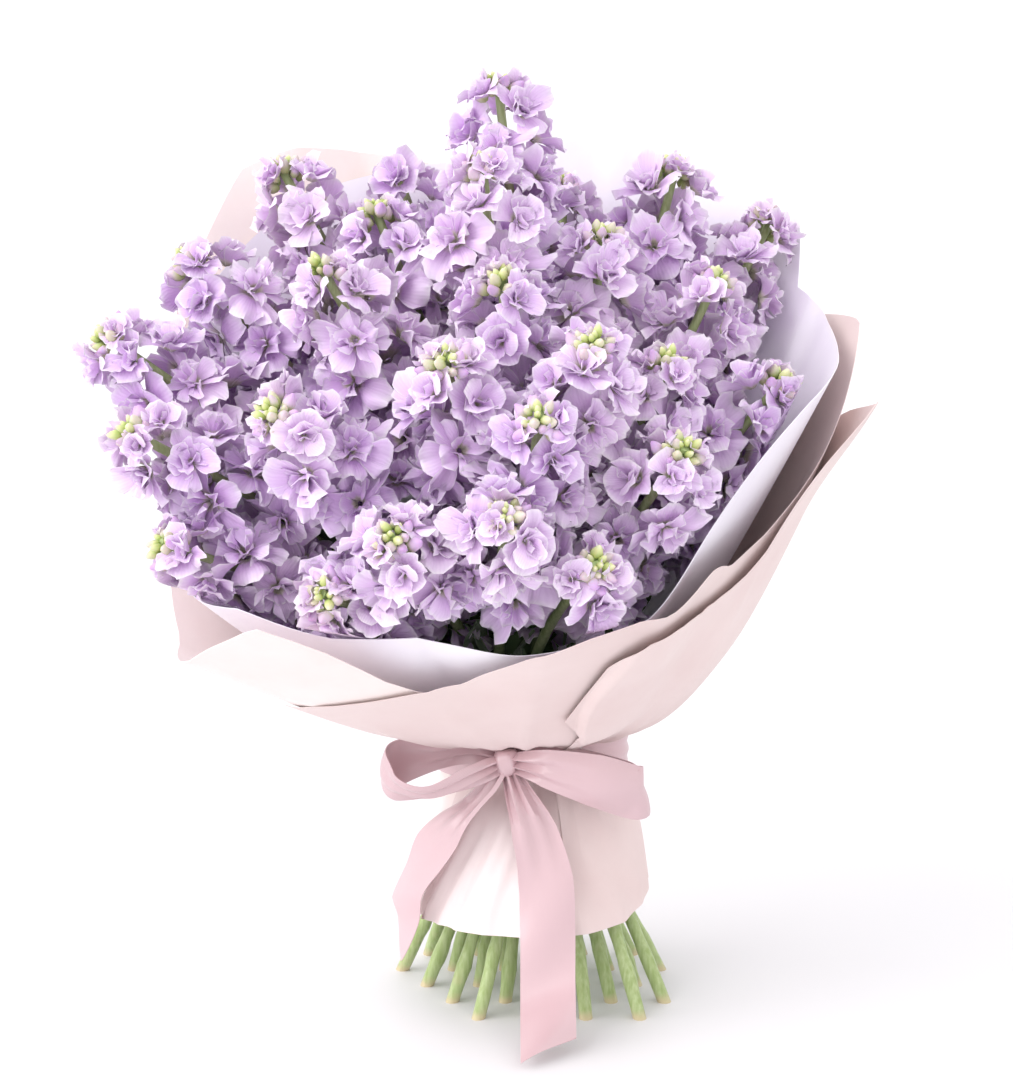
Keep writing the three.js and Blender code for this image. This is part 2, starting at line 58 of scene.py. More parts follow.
# The twine goes round the axis that all places below are measured from
TWINE_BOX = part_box("twine")
AXIS = (TWINE_BOX[0] + TWINE_BOX[1]) / 2
TO_FRAME = Matrix.Translation((AXIS.x, AXIS.y, 0)) @ Matrix.Scale(MM, 4)

# Stems and the tie, as in the solids
FOOT_RADIUS = 3.0
TIE_RADIUS = 2.6
TIP_RADIUS = 2.0
FEET_RING = 66.0
SLOT_PITCH = 7.3
TIE_HEIGHT = 118.0
SPIRAL = math.radians(60)
ARCH = 0.09
GOLDEN_ANGLE = math.radians(137.5)

# Each stem's tip: across, away from the front, and up
TIPS = [
    (-16, 38, 427), (-23, -35, 396), (-119, 62, 385), (-66, 98, 382), (-73, 22, 370),
    (-161, 22, 348), (-94, -45, 351), (-194, -20, 317), (-177, -75, 283), (-112, -105, 296),
    (-38, -110, 320), (-14, -70, 349), (26, -100, 325), (32, -15, 362), (69, 72, 386),
    (116, 82, 359), (84, -8, 342), (113, -30, 299), (64, -100, 279), (2, -127, 298),
    (60, -62, 312), (-12, -146, 260), (-60, -140, 249), (-90, -120, 220), (-162, -82, 234),
    (26, -128, 234), (15, 102, 375),
]

# Where there are leaves and no flowers, behind the front of the paper
GAP_LEFT = -50.0
GAP_RIGHT = 27.0
GAP_BACK = -58.0
GAP_TOP = 212.0

# Flowers and buds: a stem's flowers start a little below its tip, and the first of them are half open
FLORET_RADIUS = 15.0
PETAL_THICKNESS = 0.5
SPIKE_TOP = 5.0
SPIKE_LENGTH = 99.0
HALF_OPEN_COUNT = 6
BUD_SPREAD = 5.4
# They stay this far inside the lining, and may lean out over its rim by so much for each millimetre above it
FLOWER_MARGIN = 7.5
SPILL = 3.0
# Leaves start above the tie and stop short of the tip, and two were stripped between these heights
LEAF_WIDTH = 16.0
LEAF_THICKNESS = 0.7
FIRST_LEAF = 30.0
LEAFLESS = 150.0
KNOB_HEIGHTS = ((14, 34), (42, 64))
# Seeds of the florets' shapes, and the first of the stems' own
OPEN_SEEDS = (3, 5, 8, 13)
HALF_OPEN_SEEDS = (21, 34)
BLOOM_SEED = 100
STEM_SEED = 500

# Paper, as in the solids: the hem of the skirt, the gathered waist and the flare up to the rim
SHEET_STEP = 0.7
LOOSENESS = 2.0
WAIST_WIDE = 42.0
WAIST_DEEP = 28.0
HEM_WIDE = 53.0
HEM_DEEP = 52.0
HEM_HEIGHTS = ([-180, -90, 0, 50, 90, 130, 180], [44, 42, 43, 44, 54, 50, 44])
SKIRT_FULLNESS = 0.6
WAIST_LOW = 106.0
WAIST_HEIGHT = 25.0
BOWL_LEFT = 1.45
BOWL_RIGHT = 1.2
RIM_AZIMUTHS = [-180, -135, -110, -90, -70, -45, -20, 0, 25, 40, 55, 70, 90, 115, 135, 160, 180]
RIM_RADII = [128, 152, 170, 172, 166, 148, 124, 114, 116, 118, 122, 130, 142, 154, 154, 140, 128]
RIM_HEIGHTS = [385, 368, 318, 262, 212, 200, 195, 194, 206, 240, 264, 292, 318, 348, 368, 382, 385]
# How far the outer sheets hang off the lining at the rim and stand off it below, by azimuth
SAG = ([-180, -130, -105, -80, -60, -40, -10, 30, 180], [0, 0, 8, 19, 22, 12, 0, 0, 0])
BELLY = ([-180, -120, -90, -60, -30, 0, 30, 60, 90, 120, 150, 180], [0, 0, 4, 6, 7, 7, 10, 16, 15, 6, 0, 0])
BELLY_FLARE = 0.35
# Depth of the pleats at the back and of the waves in the rim
BACK_PLEATS = 4.2
RIM_WAVES = 2.4

# A sheet's rows, the shares of them at which the skirt and the waist end, and the degrees in a column
PAPER_ROWS = 64
SKIRT_SHARE = 0.24
WAIST_SHARE = 0.32
PAPER_COLUMN = 1.8

# Straight-cut edges: each sheet's reach from the ribbon to its edge, as a share of the lining's, by azimuth
LINING_EDGE = ([-180, -90, -71, -50, -38, 80, 89, 104, 117, 123, 132, 146, 158, 172, 180],
               [1.0, 1.0, 0.96, 1.1, 1.0, 0.99, 0.96, 0.93, 0.91, 1.0, 1.09, 1.04, 1.04, 1.02, 1.0])
LEFT_EDGE = ([-200, -180, -160, -126, -94, -90, -71, -60, -50, -38, -34, -31, -27.5, -20, 0],
             [0.95, 0.97, 1.0, 1.09, 0.95, 0.87, 0.87, 1.0, 1.15, 1.33, 1.11, 0.9, 0.81, 0.72, 0.6])
FRONT_EDGE = ([-60, -49.8, -34.8, -16.2, -1.5, 10, 19.8, 30, 49, 61, 70, 80, 97, 108, 120],
              [0.66, 0.73, 0.79, 0.86, 1.08, 1.13, 1.13, 1.03, 0.81, 0.78, 0.8, 0.86, 0.98, 0.92, 0.85])
RIGHT_EDGE = ([8.5, 15, 21.8, 26, 30, 36.8, 43, 49, 55, 61, 66, 70, 75, 80, 84, 95, 120, 160, 200],
              [0.59, 0.94, 1.02, 1.01, 0.95, 0.82, 0.77, 0.75, 0.745, 0.77, 0.81, 0.84, 0.9, 0.97, 0.93, 0.8,
               0.84, 0.92, 0.93])
# The right sheet's front side: where it starts at each level, and the rolled fold beside it
RIGHT_SIDE = ([1.0, 1.2, 1.43, 1.59, 1.9, 2.2], [19, 17, 15.2, 8.5, 8.5, 8.5])
FOLD_LEVEL = 1.65
FOLD_AZIMUTH = 12.5
FOLD_HEIGHT = 4.2
CORNER_AZIMUTH = 83.0
CORNER_FLARE = 10.0

# A deep fold winds down the front of the skirt: its azimuth at each share of the way down, its depth, and
# how far it fades out to its left and to its right, in degrees
SKIRT_FOLD = ([0, 0.14, 0.31, 0.52, 0.65, 1.0], [-13, -8, -8.5, -19, -30, -48])
SKIRT_FOLD_DEPTH = 2.4
SKIRT_FOLD_WIDTHS = (3.5, 2.0)

# Creases that radiate from the ribbon: azimuth, lean, depth and width in degrees
LINING_CREASES = [(146, 9, -3.5, 3), (165, -8, -2.5, 4), (108, 6, -2.5, 3), (-20, -9, -1.5, 3),
                  (-160, 8, -2.5, 4)]
LEFT_CREASES = [(-150, 8, 2.5, 3), (-108, -6, 3.0, 4), (-72, 7, 1.8, 3), (-48, -8, 1.5, 3)]
FRONT_CREASES = [(-22, -10, 1.2, 3), (-2, 8, 1.0, 2.5)]
RIGHT_CREASES = [(58, 8, 1.2, 4), (98, -7, 2.5, 3), (135, 8, 2.5, 3), (172, -6, 2.5, 4)]
PAPER_THICKNESS = 0.3

# Ribbon, as in the solids
KNOT = np.array([-12.0, -38.0, 123.0])
BAND_LOW = 111.0
BAND_HEIGHT = 18.0
BAND_OFFSET = 3.1
RIBBON_THICKNESS = 0.4
STATION_WIDTH = 25.0

# The photograph's view: its height in pixels, a pixel's millimetres at the bouquet, and the camera's place
PHOTO_HEIGHT = 1085
MM_PER_PIXEL = 0.463
VIEW_DISTANCE = 1350.0
VIEW_ELEVATION = math.radians(12)
VIEW_TARGET = (-11.8, 0.0, 216.5)
SENSOR_HEIGHT = 36.0

# The floor reaches past the horizon's haze, and a wide window lights the bouquet from the upper left
FLOOR_SIZE = 80.0
WINDOW = (-0.76, -0.38, 0.53)
WINDOW_ANGLE = 60


# Colours

def linear(colour):
    """The linear colour with alpha of an sRGB hex value."""
    parts = [int(colour[k:k + 2], 16) / 255 for k in (1, 3, 5)]
    return (*[c / 12.92 if c <= 0.04045 else ((c + 0.055) / 1.055) ** 2.4 for c in parts], 1.0)


def colour_property(name, description, colour):
    """A colour that a user can change, with an sRGB hex value as its default."""
    return FloatVectorProperty(name=name, description=description, subtype="COLOR", size=4,
                               min=0.0, max=1.0, default=linear(colour))


# Settings that a user would change

class BloomSettings(bpy.types.PropertyGroup):
    florets: IntProperty(name="Florets", description="Open florets on each stem", default=17, min=5)
    small_floret: FloatProperty(name="Small Floret", description="Radius of the floret next to the buds",
                                default=12.0 * MM, unit="LENGTH")
    large_floret: FloatProperty(name="Large Floret", description="Radius of a full-grown floret",
                                default=18.6 * MM, unit="LENGTH")
    buds: IntProperty(name="Buds", description="Closed buds at the tip of each stem", default=19, min=1)
    throat: colour_property("Throat", "Colour of a petal's lower part", "#DFBAEC")
    petal: colour_property("Petal", "Colour of a petal's middle", "#E5C0F1")
    edge: colour_property("Edge", "Colour of a petal's edge", "#FFFBFF")


class StemSettings(bpy.types.PropertyGroup):
    leaves: IntProperty(name="Leaves", description="Leaves on each stem, below its flowers", default=4,
                        min=0)
    leaf_length: FloatProperty(name="Leaf Length", description="Length of a full-grown leaf",
                               default=60 * MM, unit="LENGTH")
    sides: IntProperty(name="Sides", description="Flats round a stem", default=10, min=5)


class PaperSettings(bpy.types.PropertyGroup):
    pleat: FloatProperty(name="Pleats", description="Depth of the pleats above the ribbon",
                         default=2.2 * MM, unit="LENGTH")
    skirt: FloatProperty(name="Skirt Folds", description="Depth of the folds at the hem",
                         default=5.0 * MM, unit="LENGTH")
    lining: colour_property("Lining", "Colour of the inner sheet", "#FAF6FD")
    lining_shade: colour_property("Lining Shade", "Darker clouds in the inner sheet", "#F2EBF8")
    pale: colour_property("Pale", "Colour of the pale outer sheet on the left", "#FAEBE7")
    pale_shade: colour_property("Pale Shade", "Darker clouds in the pale outer sheet", "#F4E1DD")
    blush: colour_property("Blush", "Colour of the front and right outer sheets", "#E7D5D3")
    blush_shade: colour_property("Blush Shade", "Darker clouds in these two sheets", "#E0CAC8")


class RibbonSettings(bpy.types.PropertyGroup):
    width: FloatProperty(name="Width", description="Width of the ribbon", default=25 * MM, unit="LENGTH")
    satin: colour_property("Satin", "Colour of the ribbon's threads", "#D5B8BD")
    shade: colour_property("Satin Shade", "Colour between the ribbon's threads", "#CDABB1")


class StageSettings(bpy.types.PropertyGroup):
    key: FloatProperty(name="Key Light", description="Strength of the soft light from the upper left",
                       default=1.8)
    daylight: FloatProperty(name="Daylight", description="Strength of the even light from all sides",
                            default=1.17)
    background: colour_property("Background", "Colour of the even light", "#FFFFFF")


# Small tools

def between(table, at):
    """A smooth curve through a table of keys and values, read at an array of keys."""
    keys, values = (np.asarray(column, float) for column in table)
    at = np.asarray(at, float)
    k = np.clip(np.searchsorted(keys, at, side="left") - 1, 0, len(keys) - 2)
    t = (at - keys[k]) / (keys[k + 1] - keys[k])
    a, b = values[k], values[k + 1]
    rise = (b - values[np.maximum(k - 1, 0)]) / 2
    fall = (values[np.minimum(k + 2, len(keys) - 1)] - a) / 2
    return a + t * (rise + t * (3 * (b - a) - 2 * rise - fall + t * (2 * (a - b) + rise + fall)))


def unit(vectors):
    """The directions of an array of vectors."""
    return vectors / np.linalg.norm(vectors, axis=-1, keepdims=True)


def smooth(low, high, at):
    """Rises from 0 to 1 between low and high with no corner at either end."""
    t = np.clip((at - low) / (high - low), 0, 1)
    return t * t * (3 - 2 * t)


def coordinates(piece):
    """An array of a mesh's vertices."""
    points = np.empty(len(piece.data.vertices) * 3)
    piece.data.vertices.foreach_get("co", points)
    return points.reshape(-1, 3)


def set_coordinates(piece, points):
    piece.data.vertices.foreach_set("co", np.asarray(points, float).ravel())
    piece.data.update()


def choose(*pieces):
    """Selects only these pieces, the last one active."""
    bpy.ops.object.select_all(action="DESELECT")
    for piece in pieces:
        piece.select_set(True)
    bpy.context.view_layer.objects.active = pieces[-1]


def joined(name, pieces):
    """Joins pieces into the last one of them."""
    choose(*pieces)
    if len(pieces) > 1:
        bpy.ops.object.join()
    piece = bpy.context.view_layer.objects.active
    piece.name = name
    piece.data.name = name
    return piece


def copied(piece, matrix):
    """A copy with its own mesh, moved by a matrix."""
    copy = piece.copy()
    copy.data = piece.data.copy()
    bpy.context.scene.collection.objects.link(copy)
    copy.data.transform(matrix)
    return copy


def paint(piece, name, value):
    """Sets an attribute of every vertex to one value, or to one value each."""
    if name not in piece.data.attributes:
        piece.data.attributes.new(name, "FLOAT", "POINT")
    values = np.broadcast_to(value, len(piece.data.vertices)).copy()
    piece.data.attributes[name].data.foreach_set("value", values)


def thickened(piece, thickness):
    """Gives a sheet its thickness, half to each side."""
    choose(piece)
    modifier = piece.modifiers.new("Solidify", "SOLIDIFY")
    modifier.thickness = thickness
    modifier.offset = 0.0
    bpy.ops.object.modifier_apply(modifier=modifier.name)


def edited(piece, *steps):
    """Runs steps of edit mode on the whole of a piece."""
    choose(piece)
    bpy.ops.object.mode_set(mode="EDIT")
    bpy.ops.mesh.select_all(action="SELECT")
    for step in steps:
        step()
    bpy.ops.object.mode_set(mode="OBJECT")


# Steps of edit mode
weld = partial(bpy.ops.mesh.remove_doubles, threshold=0.01)
close_ends = partial(bpy.ops.mesh.fill_holes, sides=0)
face_outwards = partial(bpy.ops.mesh.normals_make_consistent, inside=False)


def smoothed(piece, degrees):
    choose(piece)
    bpy.ops.object.shade_smooth_by_angle(angle=math.radians(degrees))


def sheet_of(columns, rows, place, name="sheet"):
    """A grid whose places are given by a formula of u across and v along, both from 0 to 1."""
    bpy.ops.mesh.primitive_grid_add(x_subdivisions=columns, y_subdivisions=rows, size=1)
    piece = bpy.context.object
    piece.name = name
    share = coordinates(piece)[:, :2] + 0.5
    set_coordinates(piece, place(share[:, 0], share[:, 1]))
    return piece


def two_faced(columns, rows, place, thickness):
    """A grid with an upper and a lower face that meet in a thin edge all round."""
    piece = sheet_of(columns, rows, lambda u, v: np.stack([u, v, 0 * u], 1))
    u, v = coordinates(piece)[:, :2].T
    edited(piece, bpy.ops.mesh.duplicate, bpy.ops.mesh.flip_normals)
    middle, normal = place(u, v)
    inside = (np.minimum(np.minimum(u, 1 - u), np.minimum(v, 1 - v)) > 1e-4)[:, None]
    offset = normal * inside * thickness / 2
    set_coordinates(piece, np.concatenate([middle + offset, middle - offset]))
    edited(piece, weld)
    return piece


def finished(piece, node):
    """Moves a piece from the bouquet's axes to the frame, where it stands for a solid."""
    piece.data.transform(TO_FRAME)
    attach(piece, "root")
    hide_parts(node)


# Materials

# A colour mix has several sockets of one name, so these are given by place
FACTOR = 0
UNDER = 6
OVER = 7
MIXED = 2


def add_node(tree, kind, out, settings, links=None):
    """Adds a node with its properties, stops, values and links, and gives one of its outputs, or all."""
    made = tree.nodes.new("ShaderNode" + kind)
    for key, value in settings.items():
        if key == "stops":
            elements = made.color_ramp.elements
            while len(elements) < len(value):
                elements.new(0.5)
            for element, (place, colour) in zip(elements, value):
                element.position = place
                element.color = linear(colour) if isinstance(colour, str) else colour
        elif isinstance(key, str) and hasattr(made, key):
            setattr(made, key, value)
        else:
            made.inputs[key].default_value = value
    for key, source in (links or {}).items():
        tree.links.new(source, made.inputs[key])
    return made.outputs if out is None else made.outputs[out]


def new_material(name, settings):
    """A material with its shader's values set, and the tool that adds nodes to it."""
    material = bpy.data.materials.new(name)
    material.use_nodes = True
    shader = material.node_tree.nodes["Principled BSDF"]
    for key, value in settings.items():
        shader.inputs[key].default_value = value
    return material, shader, partial(add_node, material.node_tree)


def washed(put, colour, over, pattern, strength, **settings):
    """Lays a second colour over the first, as strong as a share of a pattern."""
    share = put("Math", 0, {"operation": "MULTIPLY", 1: strength}, {0: pattern})
    look = {"data_type": "RGBA", OVER: linear(over), **settings}
    return put("Mix", MIXED, look, {FACTOR: share, UNDER: colour})


def surfaced(shader, put, colour, height, strength, depth):
    """Gives a shader its colour, and its relief of a depth in millimetres."""
    bump = put("Bump", 0, {"Strength": strength, "Distance": depth * MM}, {"Height": height})
    for name, source in (("Base Color", colour), ("Normal", bump)):
        shader.id_data.links.new(source, shader.inputs[name])


def petal_material(settings):
    """Living petal: soft and matt with a velvet sheen, olive at its claw and pale at its ruffled edge."""
    material, shader, put = new_material("stock petal", {
        "Roughness": 0.62, "IOR": 1.4, "Sheen Weight": 0.2, "Sheen Roughness": 0.5,
        "Subsurface Weight": 0.15, "Subsurface Radius": (1.0, 0.7, 1.0), "Subsurface Scale": 3 * MM,
    })
    place = put("UVMap", 0, {"uv_map": "UVMap"})
    split = put("SeparateXYZ", None, {}, {0: place})
    along = put("ValToRGB", "Color", {"stops": [
        (0.0, "#8E9A4A"), (0.12, "#B9BE7C"), (0.2, "#DDD0CB"), (0.3, settings.throat),
        (0.55, settings.petal), (0.84, "#EED6F7"), (1.0, settings.edge),
    ]}, {"Fac": split["Y"]})
    tone = put("Attribute", "Fac", {"attribute_name": "tone"})
    toned = washed(put, along, "#F1E3F6", tone, 0.26)
    # Veins run along the petal, about 1 mm apart
    veins = put("TexWave", "Fac", {"bands_direction": "X", "Scale": 3.4, "Distortion": 1.6, "Detail": 2.0},
                {"Vector": place})
    veined = washed(put, toned, "#D2B0DD", veins, 0.1, blend_type="MULTIPLY")
    # Blotches about 11 mm wide
    spot = put("TexCoord", "Object", {})
    blotch = put("TexNoise", "Fac", {"Scale": 90.0, "Detail": 3.0}, {"Vector": spot})
    patched = washed(put, veined, "#EBD6F1", blotch, 0.12)
    # From one cluster of flowers to the next the colour drifts between a deeper and a paler lilac
    cluster = put("TexNoise", "Fac", {"Scale": 18.0, "Detail": 1.0}, {"Vector": spot})
    drift = put("ValToRGB", "Color", {"stops": [(0.36, "#CC9DE2"), (0.64, "#FBEAF5")]}, {"Fac": cluster})
    drifted = put("Mix", MIXED, {"data_type": "RGBA", FACTOR: 0.2}, {UNDER: patched, OVER: drift})
    # The very rim is thin and pale
    side = put("Math", 0, {"operation": "PINGPONG", 1: 0.5}, {0: split["X"]})
    rim = put("MapRange", 0, {"From Min": 0.0, "From Max": 0.06, "To Min": 0.8, "To Max": 0.0},
              {"Value": side})
    colour = put("Mix", MIXED, {"data_type": "RGBA", OVER: linear("#FEFAFE")}, {FACTOR: rim, UNDER: drifted})
    height = put("Math", 0, {"operation": "ADD"}, {0: veins, 1: blotch})
    surfaced(shader, put, colour, height, 0.25, 0.3)
    return material


def stem_material():
    """Cut flower stem: waxy green with pale ribs, brown where it was cut and where leaves were stripped."""
    material, shader, put = new_material("stock stem", {"Roughness": 0.45, "IOR": 1.42, "Sheen Weight": 0.1})
    spot = put("TexCoord", "Object", {})
    # Ribs 1.5 mm wide and ten times as long, since the real ones are too fine to show
    stretched = put("Mapping", 0, {"Scale": (650.0, 650.0, 60.0)}, {"Vector": spot})
    rib = put("TexNoise", "Fac", {"Scale": 1.0, "Detail": 4.0}, {"Vector": stretched})
    green = put("ValToRGB", "Color", {"stops": [(0.3, "#98AC6B"), (0.72, "#B9C894")]}, {"Fac": rib})
    # Scars about 14 mm apart
    scars = put("TexNoise", "Fac", {"Scale": 70.0, "Detail": 2.0}, {"Vector": spot})
    spread = put("ValToRGB", "Color", {"stops": [(0.62, "#000000"), (0.72, "#FFFFFF")]}, {"Fac": scars})
    cut = put("Attribute", "Fac", {"attribute_name": "cut"})
    brown = put("Math", 0, {"operation": "MULTIPLY_ADD", 1: 0.25, "use_clamp": True}, {0: spread, 2: cut})
    colour = put("Mix", MIXED, {"data_type": "RGBA", OVER: linear("#CFC09B")}, {FACTOR: brown, UNDER: green})
    surfaced(shader, put, colour, rib, 0.3, 0.2)
    return material


def leaf_material():
    """Stock leaf: dusty grey-green with fine down on it and a pale midrib."""
    material, shader, put = new_material("stock leaf", {"Roughness": 0.6, "Sheen Weight": 0.3})
    place = put("UVMap", 0, {"uv_map": "UVMap"})
    split = put("SeparateXYZ", None, {}, {0: place})
    rib = put("Math", 0, {"operation": "PINGPONG", 1: 0.5}, {0: split["X"]})
    green = put("ValToRGB", "Color", {"stops": [(0.0, "#5F7D49"), (0.42, "#4F6D3D"), (0.475, "#94AA76")]},
                {"Fac": rib})
    # Tufts of down 4 mm wide, coarser than the real down so that they show
    spot = put("TexCoord", "Object", {})
    down = put("TexNoise", "Fac", {"Scale": 260.0, "Detail": 4.0}, {"Vector": spot})
    colour = washed(put, green, "#8FA77A", down, 0.3)
    surfaced(shader, put, colour, down, 0.3, 0.3)
    return material


def bud_material():
    """Closed bud: waxy green at its foot, cream to lilac where the folded petals show at its tip."""
    material, shader, put = new_material("stock bud", {
        "Roughness": 0.5, "Sheen Weight": 0.15, "Subsurface Weight": 0.1, "Subsurface Scale": 2 * MM,
    })
    ripe = put("Attribute", "Fac", {"attribute_name": "tone"})
    along = put("Attribute", "Fac", {"attribute_name": "along"})
    young, old = [put("ValToRGB", "Color", {"stops": stops}, {"Fac": along}) for stops in (
        [(0.0, "#8FA552"), (0.45, "#B9C873"), (0.8, "#DADFA4"), (1.0, "#EEEBCB")],
        [(0.0, "#9DB062"), (0.35, "#C9CB9C"), (0.6, "#DDC3E2"), (1.0, "#CBA0D8")],
    )]
    colour = put("Mix", MIXED, {"data_type": "RGBA"}, {FACTOR: ripe, UNDER: young, OVER: old})
    # Wrinkles 2 mm wide
    spot = put("TexCoord", "Object", {})
    grain = put("TexNoise", "Fac", {"Scale": 500.0, "Detail": 2.0}, {"Vector": spot})
    surfaced(shader, put, colour, grain, 0.25, 0.2)
    return material


def paper_material(name, body, shade, glow):
    """Florist's paper: matt and faintly clouded, with a fibre grain, and with painted light that makes it
    paler on the left below the ribbon, where the window light falls.
    """
    material, shader, put = new_material(name, {
        "Roughness": 0.72, "Sheen Weight": 0.15, "IOR": 1.45,
        "Subsurface Weight": glow, "Subsurface Radius": (1.0, 0.85, 0.85), "Subsurface Scale": 2 * MM,
    })
    # Clouds about 45 mm wide
    spot = put("TexCoord", "Object", {})
    cloud = put("TexNoise", "Fac", {"Scale": 22.0, "Detail": 5.0, "Roughness": 0.6}, {"Vector": spot})
    clouded = put("ValToRGB", "Color", {"stops": [(0.25, shade), (0.7, body)]}, {"Fac": cloud})
    # Painted light: the foot attribute lays a near-white over the paper's colour below the ribbon on its
    # left, where the window light falls
    foot = put("Attribute", "Fac", {"attribute_name": "foot"})
    colour = put("Mix", MIXED, {"data_type": "RGBA", OVER: linear("#FBF1F2")},
                 {FACTOR: foot, UNDER: clouded})
    # Fibres about 1 mm long
    fibre = put("TexNoise", "Fac", {"Scale": 900.0, "Detail": 3.0, "Distortion": 1.5}, {"Vector": spot})
    surfaced(shader, put, colour, fibre, 0.16, 0.12)
    return material


def satin_material(settings):
    """Polyester satin: long floats of thread along the ribbon give it a soft shine across them."""
    material, shader, put = new_material("satin", {
        "Roughness": 0.3, "Anisotropic": 0.6, "Sheen Weight": 0.5, "Sheen Roughness": 0.3,
        "Specular IOR Level": 1.0,
    })
    place = put("UVMap", 0, {"uv_map": "UVMap"})
    # Threads 0.4 mm apart across the 25 mm ribbon, coarser than the real ones so that they show
    threads = put("TexWave", "Fac", {"bands_direction": "X", "Scale": 20.0, "Distortion": 0.4},
                  {"Vector": place})
    colour = put("ValToRGB", "Color", {"stops": [(0.0, settings.shade), (1.0, settings.satin)]},
                 {"Fac": threads})
    surfaced(shader, put, colour, threads, 0.08, 0.1)
    return material


def jute_material():
    """Twisted jute: dry tan fibres in slanting strands."""
    material, shader, put = new_material("jute", {"Roughness": 0.9, "Sheen Weight": 0.3})
    # Strands a little over 1 mm wide
    spot = put("TexCoord", "Object", {})
    strands = put("TexWave", "Fac", {"bands_direction": "DIAGONAL", "Scale": 260.0, "Distortion": 3.0},
                  {"Vector": spot})
    colour = put("ValToRGB", "Color", {"stops": [(0.0, "#7E6740"), (1.0, "#C7AE7C")]}, {"Fac": strands})
    surfaced(shader, put, colour, strands, 0.6, 0.4)
    return material


def floor_material():
    """Pale sheet of studio paper: even, with the faintest clouding."""
    material, shader, put = new_material("pale floor", {"Roughness": 0.55})
    spot = put("TexCoord", "Object", {})
    cloud = put("TexNoise", "Fac", {"Scale": 1.5, "Detail": 3.0}, {"Vector": spot})
    colour = put("ValToRGB", "Color", {"stops": [(0.3, "#E6E5E9"), (0.7, "#EBEAED")]}, {"Fac": cloud})
    shader.id_data.links.new(colour, shader.inputs["Base Color"])
    return material


# Stems: where each one stands, passes the tie and ends

def hexagon_slots(count):
    """Places of round stems packed side by side, from the middle outwards."""
    slots = [(SLOT_PITCH * (column + row / 2), SLOT_PITCH * row * math.sqrt(3) / 2)
             for row in range(-4, 5) for column in range(-4, 5)]
    slots.sort(key=lambda slot: (round(math.hypot(*slot), 2), math.atan2(-slot[1], -slot[0]) + math.pi))
    return np.array(slots[:count])


def steps_of(line):
    """The length of each step along a line of points."""
    return np.linalg.norm(np.diff(line, axis=0), axis=1)


def spun(points, angle):
    """Turns flat points about the middle."""
    cos, sin = math.cos(angle), math.sin(angle)
    return points @ np.array([[cos, sin], [-sin, cos]])


def slots_for(tips):
    """Gives each tip the slot on its own side of the bunch, by swapping pairs until none is better."""
    slots = hexagon_slots(len(tips))
    lean = tips[:, :2] - tips[:, :2].mean(0)
    scale = np.hypot(*slots.T).max() / np.hypot(*lean.T).max()
    cost = ((spun(lean * scale, -SPIRAL)[:, None] - slots[None]) ** 2).sum(2)
    taken = list(range(len(tips)))
    better = True
    while better:
        better = False
        for a, b in combinations(range(len(tips)), 2):
            now = cost[a, taken[a]] + cost[b, taken[b]]
            if cost[a, taken[b]] + cost[b, taken[a]] < now - 1e-6:
                taken[a], taken[b] = taken[b], taken[a]
                better = True
    return slots[taken]


class Stem:
    """A stem's middle line, from its foot through the tie to its tip, with places by length along it."""

    def __init__(self, foot, tie, tip):
        middle = (tie + tip) / 2
        middle[2] += ARCH * np.linalg.norm(tip - tie)
        knots = np.array([2 * foot - tie, foot, tie, middle, tip, 2 * tip - middle])
        line = []
        for k in range(1, 4):
            before, start, end, after = knots[k - 1:k + 3]
            steps = [np.linalg.norm(b - a) ** 0.5 for a, b in ((before, start), (start, end), (end, after))]
            chord = (end - start) / steps[1]
            out = (start - before) / steps[0] - (end - before) / (steps[0] + steps[1]) + chord
            back = chord - (after - start) / (steps[1] + steps[2]) + (after - end) / steps[2]
            out, back = out * steps[1], back * steps[1]
            t = np.linspace(0, 1, 60, endpoint=k == 3)[:, None]
            line.append(start + t * out + t ** 2 * (3 * (end - start) - 2 * out - back)
                        + t ** 3 * (2 * (start - end) + out + back))
        self.line = np.concatenate(line)
        self.lengths = np.concatenate([[0], np.cumsum(steps_of(self.line))])
        self.length = self.lengths[-1]
        self.tie_length = np.linalg.norm(tie - foot)

    def at(self, length):
        return np.stack([np.interp(length, self.lengths, self.line[:, k]) for k in range(3)], -1)

    def axes(self, length):
        """Directions along the stem and twice across it."""
        length = np.clip(length, 1, self.length - 1)
        along = unit(self.at(length + 1) - self.at(length - 1))
        across = unit(np.cross([0.0, 1.0, 0.0], along))
        return along, across, np.cross(across, along)

    def side(self, length, angle):
        _, across, third = self.axes(length)
        return across * math.cos(angle) + third * math.sin(angle)

    def radius(self, length):
        below = FOOT_RADIUS + (TIE_RADIUS - FOOT_RADIUS) * length / self.tie_length
        share = (length - self.tie_length) / (self.length - self.tie_length)
        above = TIE_RADIUS + (TIP_RADIUS - TIE_RADIUS) * share
        return np.where(length < self.tie_length, below, above)


def all_stems():
    tips = np.array(TIPS, float)
    slots = slots_for(tips)
    feet = spun(slots * FEET_RING / np.hypot(*slots.T).max(), -SPIRAL)
    return [Stem(np.array([*foot, 0.0]), np.array([*slot, TIE_HEIGHT]), tip)
            for foot, slot, tip in zip(feet, slots, tips)]


# Paper surfaces

def direction(azimuth):
    """The way outwards at an azimuth: 0 is the front, and 90 the photograph's right."""
    angle = np.radians(azimuth)
    return np.stack([np.sin(angle), -np.cos(angle)], -1)


def ellipse(wide, deep, azimuth):
    """The radius of an ellipse in the direction of an azimuth."""
    x, y = direction(azimuth).T
    return 1 / np.hypot(x / wide, y / deep)


def wrapped(azimuth):
    """The same direction as an azimuth from -180 to 180."""
    return np.mod(azimuth + 180, 360) - 180


def bowl(azimuth):
    """How late the paper rises on its way out: above 1 it starts flat."""
    return BOWL_LEFT + (BOWL_RIGHT - BOWL_LEFT) * (np.sin(np.radians(azimuth)) + 1) / 2


